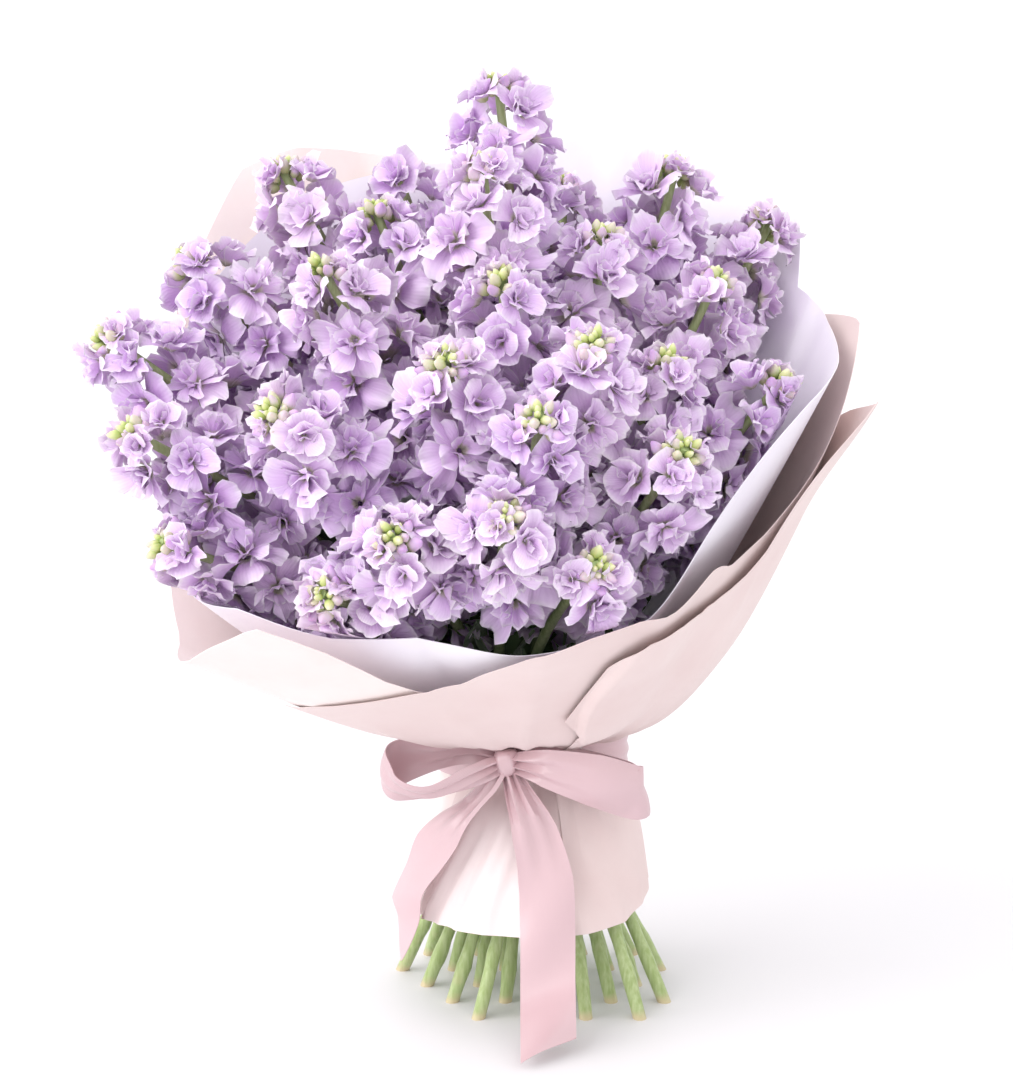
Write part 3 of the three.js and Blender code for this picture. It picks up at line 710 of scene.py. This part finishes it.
def lining_point(azimuth, level):
    """A point of the lining: level -1 is the hem, 0 to 1 the waist under the ribbon, and 2 the rim."""
    around = wrapped(azimuth)
    side = direction(around)
    waist = ellipse(WAIST_WIDE, WAIST_DEEP, around)
    drop = np.clip(-level, 0, 1)
    hem = ellipse(HEM_WIDE, HEM_DEEP, around)
    flare = np.maximum(level - 1, 0)
    rim = between((RIM_AZIMUTHS, RIM_RADII), around)
    top = between((RIM_AZIMUTHS, RIM_HEIGHTS), around)
    band = WAIST_LOW + WAIST_HEIGHT * np.clip(level, 0, 1)
    low = between(HEM_HEIGHTS, around)
    radius = waist + (hem - waist) * drop ** SKIRT_FULLNESS + (rim - waist) * flare
    height = band + (low - WAIST_LOW) * drop + (top - band) * flare ** bowl(around)
    return np.column_stack([side * radius[:, None], height])


def outward(azimuth, level):
    """The direction off the lining, the same for all the sheets."""
    turn, step = 1.5, 0.06
    sideways = lining_point(azimuth + turn, level) - lining_point(azimuth - turn, level)
    upward = lining_point(azimuth, level + step) - lining_point(azimuth, np.maximum(level - step, -1))
    return unit(np.cross(sideways, upward))


def ridges(azimuth, *rows):
    """Rows of sharp ridges with round hollows between them: each has a height, a count and a phase."""
    angle = np.radians(azimuth)
    return sum(height * np.abs(np.sin(angle * count / 2 + phase)) for height, count, phase in rows)


def folds(azimuth, level, pleat, skirt):
    """Pleats that all the sheets share: they radiate from the ribbon and die out towards the rim."""
    flare = np.maximum(level - 1, 0)
    drop = np.clip(-level, 0, 1)
    angle = np.radians(azimuth)
    drift = 0.5 * np.sin(angle * 3 + 1)
    fine = ridges(azimuth, (0.6, 16, drift + 0.4 * flare), (0.4, 27, 1.3 - 0.7 * flare))
    warp = azimuth + 14 * np.sin(2.6 * drop + angle * 2)
    broad = ridges(warp, (0.55, 9, 0.9 + drift + 0.9 * drop), (0.45, 23, 0.3 + 1.7 * drop))
    beside = azimuth - np.interp(drop, *SKIRT_FOLD)
    depth = SKIRT_FOLD_DEPTH * smooth(0.02, 0.25, drop) * (1 - 0.6 * drop)
    broad += depth / skirt * np.exp(-np.abs(beside) / np.where(beside < 0, *SKIRT_FOLD_WIDTHS))
    gathered = -1.3 * fine * smooth(-0.4, 0.0, level) * smooth(1.5, 1.0, level)
    radiating = pleat * (0.6 - fine) * smooth(1.0, 1.15, level) * np.exp(-flare / 0.3)
    around = wrapped(azimuth)
    hanging = skirt * (1 - broad) * drop ** 0.7 * (1 - 0.75 * np.exp(-((around - 90) / 32) ** 2))
    behind = smooth(72, 125, np.abs(around))
    creased = ridges(azimuth, (0.6, 17, drift + 1.1 * flare), (0.4, 31, 2.0 - 0.8 * flare))
    fading = smooth(1.0, 1.15, level) * (1 - 0.55 * np.minimum(flare, 1))
    radiating += BACK_PLEATS * behind * (creased - 0.6) * fading
    waves = RIM_WAVES * flare ** 2 * (np.sin(angle * 5 + 0.6) + 0.6 * np.sin(angle * 9 + 2))
    return gathered + radiating + hanging + waves


def creases(lines, azimuth, flare):
    """Sharp ridges that lean as they run from the ribbon to the edge."""
    height = 0 * azimuth
    for middle, lean, depth, width in lines:
        beside = np.abs(azimuth - middle - lean * (flare - 0.6))
        height += depth * np.exp(-beside / width) * smooth(0.1, 0.5, flare)
    return height


def paper_point(azimuth, level, layer, pleat, skirt, further):
    """A point of a sheet that lies on the lining, as the layer with this number, and further off it."""
    flare = np.maximum(level - 1, 0)
    around = wrapped(azimuth)
    belly = between(BELLY, around) * (flare / BELLY_FLARE) * np.exp(1 - flare / BELLY_FLARE)
    stand = (between(SAG, around) * flare ** 2 + belly) * min(layer, 1)
    own = 0.35 * flare * np.sin(np.radians(azimuth) * (7 + 2 * layer) + 1.7 * layer + 4 * flare)
    offset = layer * SHEET_STEP * (1 + LOOSENESS * flare) + stand + own
    offset += folds(azimuth, level, pleat, skirt)
    return lining_point(azimuth, level) + outward(azimuth, level) * (offset + further)[:, None]


def kept_inside(points, margin):
    """Presses points beyond the lining back to its inner face. Above the rim they may spill over."""
    azimuth = np.degrees(np.arctan2(points[:, 0], -points[:, 1]))
    radius = np.hypot(points[:, 0], points[:, 1])
    top = between((RIM_AZIMUTHS, RIM_HEIGHTS), azimuth)
    waist = ellipse(WAIST_WIDE, WAIST_DEEP, azimuth)
    band = WAIST_LOW + WAIST_HEIGHT
    flare = np.clip((points[:, 2] - band) / (top - band), 0, 1) ** (1 / bowl(azimuth))
    limit = waist + (between((RIM_AZIMUTHS, RIM_RADII), azimuth) - waist) * flare - margin
    limit += SPILL * np.maximum(points[:, 2] - top, 0)
    scale = np.where((radius > limit) & (points[:, 2] > band), limit / radius, 1)
    return points * np.column_stack([scale, scale, np.ones_like(scale)])


def flat_size(place):
    """The longest lines across and along a sheet, in metres: the size it is cut to."""
    share = np.linspace(0, 1, 200)
    across = max(steps_of(place(share, row + 0 * share)).sum() for row in (0, 0.3, 1))
    along = max(steps_of(place(column + 0 * share, share)).sum() for column in np.linspace(0, 1, 9))
    return across * MM, along * MM


class BOUQUET_OT_paper(bpy.types.Operator):
    """Wraps the lining and the three outer sheets"""
    bl_idname = "bouquet.paper"
    bl_label = "Paper"

    def wrap(self, name, node, layer, edge, lines, material):
        """Lays one sheet round the bouquet, from edge to edge, on the layers inside it."""
        settings = bpy.context.scene.bouquet_paper
        pleat, skirt = settings.pleat / MM, settings.skirt / MM
        start, end = edge[0][0], edge[0][-1]

        def place(u, v):
            crowded = 1.5 if name == "right_sheet" else 1.0
            azimuth = start + (end - start) * u ** crowded
            reach = np.interp(azimuth, *edge)
            level = np.interp(v, [0, SKIRT_SHARE, WAIST_SHARE], [-1, 0, 1])
            level += reach * np.maximum(v - WAIST_SHARE, 0) / (1 - WAIST_SHARE)
            flare = np.maximum(level - 1, 0)
            further = creases(lines, azimuth, flare)
            if name == "right_sheet":
                # Its front side turns over into a rolled fold, and its far corner flares out
                shift = np.interp(level, *RIGHT_SIDE) - start
                azimuth = azimuth + shift * np.exp(-((azimuth - start) / 14) ** 2)
                fold = azimuth - FOLD_AZIMUTH - 2.7 * ((level - FOLD_LEVEL) / 0.22) ** 2
                rolled = FOLD_HEIGHT * smooth(-1.0, 1.6, fold) * np.exp(-np.maximum(fold, 0) / 20) + 1.2
                further += rolled * smooth(1.25, 1.45, level) * smooth(2.15, 1.85, level)
                corner = np.exp(-((azimuth - CORNER_AZIMUTH) / 9) ** 2)
                further += CORNER_FLARE * corner * smooth(0.7, 1.0, flare)
            return paper_point(azimuth, level, layer, pleat, skirt, further)

        columns = int((end - start) / PAPER_COLUMN)
        piece = sheet_of(columns, PAPER_ROWS, place, name)
        flat = flat_size(place)
        points = coordinates(piece)
        # Painted light: below the ribbon and on the left, the side that the window lights, the paper is
        # painted paler
        below = smooth(WAIST_LOW + 6, WAIST_LOW - 20, points[:, 2])
        paint(piece, "foot", 0.55 * below * smooth(24, -6, points[:, 0]))
        thickened(piece, PAPER_THICKNESS)
        smoothed(piece, 40)
        piece.data.materials.append(material)
        finished(piece, node)

    def execute(self, context):
        settings = context.scene.bouquet_paper
        lining = paper_material("lining tissue", settings.lining, settings.lining_shade, 0.0)
        pale = paper_material("wrap paper pale", settings.pale, settings.pale_shade, 0.15)
        blush = paper_material("wrap paper", settings.blush, settings.blush_shade, 0.0)
        self.wrap("lining_sheet", "lining_paper", 0, LINING_EDGE, LINING_CREASES, lining)
        self.wrap("left_sheet", "wrap_paper_left", 1, LEFT_EDGE, LEFT_CREASES, pale)
        self.wrap("front_sheet", "wrap_paper_front", 2, FRONT_EDGE, FRONT_CREASES, blush)
        self.wrap("right_sheet", "wrap_paper_right", 3, RIGHT_EDGE, RIGHT_CREASES, blush)
        return {"FINISHED"}


# Flowers

def petal_place(length, width, rise, curl, cup, ruffle, twist, phase, root):
    """The surface of one petal that leaves the floret's middle along +X and curls back towards its tip."""
    beat = 3.4 + 1.6 * math.sin(5 * phase)

    def place(u, v):
        across = 2 * u - 1
        share = v * (1 - 0.26 * across ** 2 * v ** 3) - 0.06 * np.exp(-(across / 0.25) ** 2) * v ** 4
        half = width / 2 * (0.2 + 0.8 * np.sin(np.clip(v / 0.78, 0, 1) * math.pi / 2) ** 1.4)
        half = half * (1 - 0.12 * smooth(0.8, 1.0, v))
        turn = rise + (curl - rise) * share
        bend = curl - rise
        reach = length / bend * (np.sin(turn) - math.sin(rise))
        lift = -length / bend * (np.cos(turn) - math.cos(rise))
        wave = np.sin(across * beat + phase) + 0.45 * np.sin(across * 8.5 - 2 * phase + 3 * v)
        crease = 0.9 * np.exp(-(across / 0.22) ** 2) * np.sin(math.pi * v)
        rolled = 0.3 * half * across ** 4 * v * math.sin(3 * phase)
        bulge = (cup * half * across ** 2 + ruffle * v ** 2 * wave + twist * half * across * v
                 - crease - rolled)
        normal = np.column_stack([-np.sin(turn), 0 * turn, np.cos(turn)])
        middle = np.column_stack([root[0] + reach, half * across, root[1] + lift]) + normal * bulge[:, None]
        return middle, normal

    return place


def floret(seed, rings):
    """A double floret of radius 15 with its face up: rings of ruffled petals round a knot of small ones."""
    random = np.random.default_rng(seed)
    petals = []
    for count, columns, rows, length, width, rise, curl, cup, ruffle, root in rings:
        start = random.uniform(0, math.tau)
        for k in range(count):
            vary = random.uniform(0.72, 1.2, 4)
            steep = math.radians(rise * vary[2] + random.uniform(-16, 10))
            end = math.radians(curl + random.uniform(-40, 30))
            place = petal_place(
                length * vary[0], width * vary[1], steep, end, cup + random.uniform(-0.15, 0.15),
                ruffle * vary[3], random.uniform(-0.6, 0.6), random.uniform(0, math.tau), root)
            petal = two_faced(columns, rows, place, PETAL_THICKNESS)
            around = start + math.tau * (k + random.uniform(-0.24, 0.24)) / count
            lean = Matrix.Rotation(math.radians(random.uniform(-16, 16)), 4, "X")
            petal.data.transform(Matrix.Rotation(around, 4, "Z") @ lean)
            paint(petal, "tone", random.uniform(0, 1))
            petals.append(petal)
    piece = joined("floret", petals)
    smoothed(piece, 80)
    return piece


# Each ring: petals, columns, rows, length, width, rise, curl, cup, ruffle, and where the petals' claws start
OPEN_RINGS = [
    (6, 7, 5, 15.6, 12.8, 34, -38, 0.05, 2.7, (1.2, -2.0)),
    (5, 6, 4, 13.2, 10.2, 58, 6, 0.10, 2.5, (0.9, -1.0)),
    (5, 4, 3, 9.5, 7.0, 82, 44, 0.25, 1.9, (1.2, 0.0)),
]
HALF_OPEN_RINGS = [
    (5, 7, 5, 14.5, 13.0, 58, -4, 0.15, 2.1, (1.2, -2.0)),
    (4, 5, 4, 12.0, 9.5, 78, 34, 0.30, 2.0, (0.8, -1.0)),
    (3, 4, 3, 8.0, 8.0, 86, 62, 0.35, 1.2, (0.5, 0.0)),
]


def bud():
    """A closed bud 1 long and 0.6 wide with its tip up, four sepals pressed to it."""
    bpy.ops.mesh.primitive_uv_sphere_add(segments=8, ring_count=6, radius=1)
    piece = bpy.context.object
    points = coordinates(piece)
    height = (points[:, 2] + 1) / 2
    angle = np.arctan2(points[:, 1], points[:, 0])
    width = 0.3 * np.sin(math.pi * height ** 0.8) ** 0.7 * (1 + 0.1 * np.cos(4 * angle) * (1 - height))
    set_coordinates(piece, np.column_stack([width * np.cos(angle), width * np.sin(angle), height]))
    paint(piece, "along", height)
    paint(piece, "tone", 0.0)
    smoothed(piece, 60)
    return piece


def placed(place, facing, spin, size):
    """The matrix that sets a shape with its +Z along a direction."""
    turn = Vector((0, 0, 1)).rotation_difference(Vector(facing)).to_matrix().to_4x4()
    return Matrix.Translation(place) @ turn @ Matrix.Rotation(spin, 4, "Z") @ Matrix.Scale(size, 4)


def in_gap(place):
    """At the front, behind the lining's edge, dark leaves show between the flowers and the paper."""
    return GAP_LEFT < place[0] < GAP_RIGHT and place[1] < GAP_BACK and place[2] < GAP_TOP


class BOUQUET_OT_blooms(bpy.types.Operator):
    """Sets the florets of each stem in a spiral round it"""
    bl_idname = "bouquet.blooms"
    bl_label = "Blooms"

    def execute(self, context):
        settings = context.scene.bouquet_blooms
        small = settings.small_floret / MM / FLORET_RADIUS
        large = settings.large_floret / MM / FLORET_RADIUS
        material = petal_material(settings)
        full = [floret(seed, OPEN_RINGS) for seed in OPEN_SEEDS]
        half = [floret(seed, HALF_OPEN_RINGS) for seed in HALF_OPEN_SEEDS]
        for shape in (*full, *half):
            shape.data.materials.append(material)
        for index, stem in enumerate(all_stems()):
            random = np.random.default_rng(BLOOM_SEED + index)
            copies = []
            for k in range(settings.florets):
                share = k / (settings.florets - 1)
                grown = min(1.0, 2.8 * share) ** 0.6
                length = stem.length - (SPIKE_TOP + SPIKE_LENGTH * share ** 1.25)
                side = stem.side(length, k * GOLDEN_ANGLE + index)
                along = stem.axes(length)[0]
                place = stem.at(length) + side * (6.0 + 9.5 * grown) + random.uniform(-1.8, 1.8, 3)
                facing = unit(side + along * (1.3 - 0.7 * grown) + random.uniform(-0.45, 0.45, 3))
                place = kept_inside(place[None], 11 + 4 * grown)[0]
                if in_gap(place):
                    continue
                shape = half[k % len(half)] if k < HALF_OPEN_COUNT else full[random.integers(len(full))]
                size = (small + (large - small) * grown) * random.uniform(0.85, 1.12)
                copies.append(copied(shape, placed(place, facing, random.uniform(0, math.tau), size)))
            number = f"{index + 1:02d}"
            piece = joined("flowers_" + number, copies)
            set_coordinates(piece, kept_inside(coordinates(piece), FLOWER_MARGIN))
            finished(piece, "bloom_" + number)
        for shape in (*full, *half):
            bpy.data.objects.remove(shape)
        return {"FINISHED"}


class BOUQUET_OT_stems(bpy.types.Operator):
    """Grows the stems with their buds, flower stalks and leaves"""
    bl_idname = "bouquet.stems"
    bl_label = "Stems"

    def stalk(self, stem, sides, knobs):
        """The stem itself, with knobs where leaves were stripped and its foot cut level."""
        def place(u, v):
            # The rows are closer near the foot, where the stem is bare
            v = v ** 1.6
            length = v * stem.length
            along, across, third = stem.axes(length)
            angle = u * math.tau
            bumps = 1 + 0.05 * np.sin(length / 7.0) * np.sin(length / 17.0)
            for height, turned in knobs:
                swelling = np.exp(-((length - height) / 4.5) ** 2)
                bumps += swelling * (0.12 + 0.2 * np.maximum(np.cos(angle - turned), 0))
            radius = (stem.radius(length) * 1.03 * bumps * (1 + 0.03 * np.cos(3 * angle)))[:, None]
            spoke = across * np.cos(angle)[:, None] + third * np.sin(angle)[:, None]
            points = stem.at(length) + radius * spoke
            foot = (length < 0.01)[:, None]
            return points - foot * along * (points[:, 2:] / along[:, 2:])

        piece = sheet_of(sides, 36, place, "stalk")
        paint(piece, "cut", smooth(5.0, 0.5, coordinates(piece)[:, 2]))
        edited(piece, weld, close_ends, face_outwards)
        smoothed(piece, 50)
        return piece

    def leaf(self, stem, start, angle, length):
        """A narrow leaf folded along its midrib, which leaves the stem and bends away from it."""
        side = stem.side(start, angle)
        along = stem.axes(start)[0]
        root = stem.at(start)
        across = np.cross(along, side)

        def place(u, v):
            half = LEAF_WIDTH / 2 * (0.12 + np.sin(math.pi * np.clip(v, 0, 1) ** 0.85) ** 0.8)
            half *= 1 - 0.1 * v
            spread = 2 * u - 1
            reach = length * v
            bend = 2 + 14 * v ** 2 + 1.3 * np.sin(9 * v + 2 * spread) * np.abs(spread) * v
            fold = 0.22 * half * np.abs(spread)
            middle = (root + along * (reach - 3)[:, None] + side * (bend + fold)[:, None]
                      + across * (half * spread)[:, None])
            normal = unit(side - along * (28 * v / length)[:, None])
            return middle, normal

        return two_faced(4, 9, place, LEAF_THICKNESS)

    def execute(self, context):
        settings = context.scene.bouquet_stems
        blooms = context.scene.bouquet_blooms
        materials = [stem_material(), leaf_material(), bud_material()]
        bud_shape = bud()
        for index, stem in enumerate(all_stems()):
            random = np.random.default_rng(STEM_SEED + index)
            knobs = [(random.uniform(*heights), random.uniform(0, 6)) for heights in KNOB_HEIGHTS]
            stalk = self.stalk(stem, settings.sides, knobs)
            leaves = []
            for k in range(settings.leaves):
                leafy = stem.length - stem.tie_length - LEAFLESS
                start = stem.tie_length + FIRST_LEAF + k * leafy / settings.leaves
                length = settings.leaf_length / MM * random.uniform(0.75, 1.0)
                leaves.append(self.leaf(stem, start, k * GOLDEN_ANGLE + 2 * index, length))
            buds = []
            for k in range(blooms.buds):
                ring = math.sqrt(k / max(blooms.buds - 1, 1))
                length = stem.length - 1.5 - 8 * ring ** 2
                side = stem.side(length, k * GOLDEN_ANGLE)
                along = stem.axes(stem.length)[0]
                place = stem.at(length) + side * BUD_SPREAD * ring + along * (1 - ring)
                place += random.uniform(-0.8, 0.8, 3)
                facing = unit(side * 1.3 * ring + along + random.uniform(-0.35, 0.35, 3))
                size = (4.6 + 5.5 * ring) * random.uniform(0.7, 1.15)
                copy = copied(bud_shape, placed(place, facing, random.uniform(0, math.tau), size))
                paint(copy, "tone", np.clip(2.2 * ring - 1.0 + random.uniform(-0.5, 0.5), 0, 1))
                buds.append(copy)
            for group, material in zip(([stalk], leaves, buds), materials):
                for part in group:
                    part.data.materials.append(material)
            number = f"{index + 1:02d}"
            piece = joined("stem_with_buds_" + number, [*buds, *leaves, stalk])
            set_coordinates(piece, kept_inside(coordinates(piece), FLOWER_MARGIN))
            finished(piece, "stem_" + number)
        bpy.data.objects.remove(bud_shape)
        return {"FINISHED"}


# Ribbon

# Each station of a strip: place from the knot, width of a 25 mm ribbon, and the direction across the strip
RIGHT_LOOP = [
    ((0, 1, 1), 5, (-0.2, 0, 1)), ((14, -1, 2), 16, (-0.15, -0.6, 0.9)),
    ((34, -2, -2), 23, (-0.15, -0.6, 0.8)), ((54, -4, -9), 25, (-0.25, -0.3, 1)),
    ((61, -7, -12), 25, (-0.3, -0.2, 1)), ((58, -11, -12), 25, (-0.3, -0.2, 1)),
    ((40, -16, -5), 25, (-0.25, -0.2, 1)), ((17, -13, 0), 18, (-0.1, -0.2, 1)),
    ((0, -3, 0), 5, (0, 0, 1)),
]
LEFT_LOOP = [
    ((0, 1, 1), 5, (0.1, 0, 1)), ((-14, -1, 4), 15, (0.1, -0.6, 0.9)),
    ((-32, -1, 2), 21, (0.05, -0.7, 0.8)), ((-48, -3, 0), 25, (0, -0.5, 0.9)),
    ((-54, -8, -3), 25, (0, -0.4, 1)), ((-50, -14, -9), 22, (0, -0.7, 0.8)),
    ((-35, -16, -10), 18, (0.1, -0.85, 0.5)), ((-16, -12, -4), 12, (0.1, -0.7, 0.7)),
    ((0, -3, 0), 5, (0, 0, 1)),
]
FRONT_TAIL = [
    ((1, -3, -2), 6, (1, 0, 0.2)), ((6, -8, -14), 13, (1, 0, 0.2)), ((13, -12, -31), 21, (1, 0, 0.1)),
    ((18, -16, -52), 25, (1, 0, 0)), ((19, -20, -75), 25, (1, 0, 0)), ((19, -27, -96), 25, (1, 0, 0)),
    ((19, -41, -109), 25, (1, 0, 0)), ((19, -60, -117), 25, (1, 0, 0)),
]
LEFT_TAIL = [
    ((-1, -3, -2), 6, (1, 0, 0.7)), ((-7, -6, -10), 12, (0.9, -0.5, 0.6)),
    ((-16, -5, -20), 17, (0.8, -0.6, 0.5)), ((-26, -2, -32), 22, (0.7, -0.7, 0.3)),
    ((-36, 3, -46), 25, (0.6, -0.8, 0.2)), ((-43, 8, -61), 25, (0.45, -0.9, 0.1)),
    ((-47, 12, -76), 25, (0.4, -0.9, 0.1)), ((-50, 16, -88), 25, (0.35, -0.9, 0.1)),
]


def through(points, share):
    """A smooth curve through points, read at shares from 0 to 1 of its stations."""
    keys = np.arange(len(points))
    at = share * (len(points) - 1)
    return np.stack([between((keys, np.array(points, float)[:, k]), at) for k in range(3)], -1)


class BOUQUET_OT_ribbon(bpy.types.Operator):
    """Ties the satin ribbon: a band, a knot, two loops and two tails"""
    bl_idname = "bouquet.ribbon"
    bl_label = "Ribbon"

    def strip(self, stations, rows, cut, phase, dome):
        """A loop or a tail along its stations, with its end cut on a slant."""
        places, widths, ways = zip(*stations)
        keys = np.arange(len(stations))
        full = bpy.context.scene.bouquet_ribbon.width / MM

        def place(u, v):
            before, after = (through(places, np.clip(v + step, 0, 1)) for step in (-0.004, 0.004))
            along = unit(after - before)
            across = through(ways, v)
            across = unit(across - along * (across * along).sum(1)[:, None])
            face = np.cross(across, along)
            share = np.interp(v * (len(stations) - 1), keys, widths) / STATION_WIDTH
            width = full * share
            gathered = 1 - share
            side = 2 * u - 1
            # Gathers run out of the knot along the strip and fade as it widens
            ripple = 3.2 * gathered ** 0.8 * np.cos(2.6 * math.pi * side + phase + 1.5 * v)
            ripple += (0.9 * np.sin(7 * v + phase) * side
                       + 1.3 * (1 - gathered) * np.cos(1.8 * side + 17 * v + phase))
            ripple += dome * (1 - side ** 2) * (1 - gathered)
            slant = smooth(0.86, 1.0, v) * cut * side * width / 2
            return (KNOT + through(places, v) + across * (width / 2 * side)[:, None] + face * ripple[:, None]
                    + along * slant[:, None])

        return sheet_of(12, rows, place, "strip")

    def band(self):
        """The ribbon's turn round the waist, which the papers' gathers wrinkle."""
        def place(u, v):
            azimuth = 360 * v
            wander = 1.5 * np.sin(np.radians(azimuth) * 2) + 0.7 * np.sin(np.radians(azimuth) * 5)
            ridge = 0.45 * np.sin(u * 5 * math.pi + wander) * np.sin(math.pi * u)
            point = lining_point(azimuth, 0 * azimuth)
            point += outward(azimuth, 0.5 + 0 * azimuth) * (BAND_OFFSET + ridge)[:, None]
            point[:, 2] = BAND_LOW + BAND_HEIGHT * u + 1.2 * np.sin(np.radians(azimuth) * 2 + 1)
            return point

        return sheet_of(14, 120, place, "band")

    def knot(self):
        """The small hard knot that the loops and the tails come out of."""
        def place(u, v):
            angle = u * math.tau
            height = 2 * v - 1
            radius = 6.0 * np.clip(1 - height ** 2, 0, 1) ** 0.3 * (1 + 0.15 * height)
            radius *= 1 - 0.14 * np.abs(np.sin(3 * angle + 1.5 * height)) * (1 - height ** 4)
            rise = 6.2 * height + 1.2 * np.cos(angle) * (1 - height ** 2)
            return KNOT + np.column_stack([radius * np.cos(angle), radius * np.sin(angle) - 4, rise])

        return sheet_of(36, 20, place, "knot")

    def execute(self, context):
        settings = context.scene.bouquet_ribbon
        material = satin_material(settings)
        strips = [
            self.strip(RIGHT_LOOP, 80, 0, 0.4, 3.5),
            self.strip(LEFT_LOOP, 80, 0, 1.9, -2.5),
            self.strip(FRONT_TAIL, 84, -0.8, 0.2, -1.2),
            self.strip(LEFT_TAIL, 60, 0.6, 2.4, -1.2),
            self.band(),
            self.knot(),
        ]
        for part in strips:
            part.data.materials.append(material)
        piece = joined("satin_bow", strips)
        edited(piece, weld)
        thickened(piece, RIBBON_THICKNESS)
        smoothed(piece, 55)
        finished(piece, "ribbon")
        return {"FINISHED"}


class BOUQUET_OT_twine(bpy.types.Operator):
    """Gives the twine round the stems its jute"""
    bl_idname = "bouquet.twine"
    bl_label = "Twine"

    def execute(self, context):
        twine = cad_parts["twine"]
        twine.data.materials.clear()
        twine.data.materials.append(jute_material())
        return {"FINISHED"}


# Stage

class BOUQUET_OT_stage(bpy.types.Operator):
    """Sets up the floor, the lights and the camera"""
    bl_idname = "bouquet.stage"
    bl_label = "Stage"

    def execute(self, context):
        settings = context.scene.bouquet_stage
        bpy.ops.mesh.primitive_plane_add(size=FLOOR_SIZE)
        floor = context.object
        floor.name = "floor"
        floor.data.materials.append(floor_material())

        world = bpy.data.worlds.new("studio")
        world.use_nodes = True
        sky = world.node_tree.nodes["Background"]
        sky.inputs["Color"].default_value = settings.background
        sky.inputs["Strength"].default_value = settings.daylight
        context.scene.world = world
        context.scene.view_settings.view_transform = "Standard"
        bpy.ops.object.light_add(type="SUN")
        lamp = context.object
        lamp.name = "window"
        lamp.rotation_euler = Vector(WINDOW).to_track_quat("Z", "Y").to_euler()
        lamp.data.angle = math.radians(WINDOW_ANGLE)
        lamp.data.energy = settings.key

        target = Vector((AXIS.x, AXIS.y, 0)) + Vector(VIEW_TARGET) * MM
        away = Vector((0, -math.cos(VIEW_ELEVATION), math.sin(VIEW_ELEVATION))) * VIEW_DISTANCE * MM
        bpy.ops.object.camera_add(location=target + away)
        camera = context.object
        camera.rotation_euler = (-away).to_track_quat("-Z", "Y").to_euler()
        camera.data.sensor_fit = "VERTICAL"
        camera.data.sensor_height = SENSOR_HEIGHT
        camera.data.lens = SENSOR_HEIGHT * VIEW_DISTANCE / (MM_PER_PIXEL * PHOTO_HEIGHT)
        context.scene.camera = camera
        return {"FINISHED"}


class BOUQUET_PT_sidebar(bpy.types.Panel):
    bl_label = "Bouquet"
    bl_idname = "BOUQUET_PT_sidebar"
    bl_space_type = "VIEW_3D"
    bl_region_type = "UI"
    bl_category = "Bouquet"

    def draw(self, context):
        for operator in OPERATORS:
            self.layout.operator(operator.bl_idname)


SETTINGS = {
    "bouquet_blooms": BloomSettings,
    "bouquet_stems": StemSettings,
    "bouquet_paper": PaperSettings,
    "bouquet_ribbon": RibbonSettings,
    "bouquet_stage": StageSettings,
}
OPERATORS = [BOUQUET_OT_stage, BOUQUET_OT_stems, BOUQUET_OT_blooms, BOUQUET_OT_paper, BOUQUET_OT_ribbon,
             BOUQUET_OT_twine]


def register():
    for kind in (*SETTINGS.values(), *OPERATORS, BOUQUET_PT_sidebar):
        bpy.utils.register_class(kind)
    for name, kind in SETTINGS.items():
        setattr(bpy.types.Scene, name, PointerProperty(type=kind))


def unregister():
    for name in SETTINGS:
        delattr(bpy.types.Scene, name)
    for kind in (BOUQUET_PT_sidebar, *reversed(OPERATORS), *SETTINGS.values()):
        bpy.utils.unregister_class(kind)


def main():
    register()
    bpy.ops.bouquet.stage()
    bpy.ops.bouquet.stems()
    bpy.ops.bouquet.blooms()
    bpy.ops.bouquet.paper()
    bpy.ops.bouquet.ribbon()
    bpy.ops.bouquet.twine()


if __name__ == "__main__":
    main()
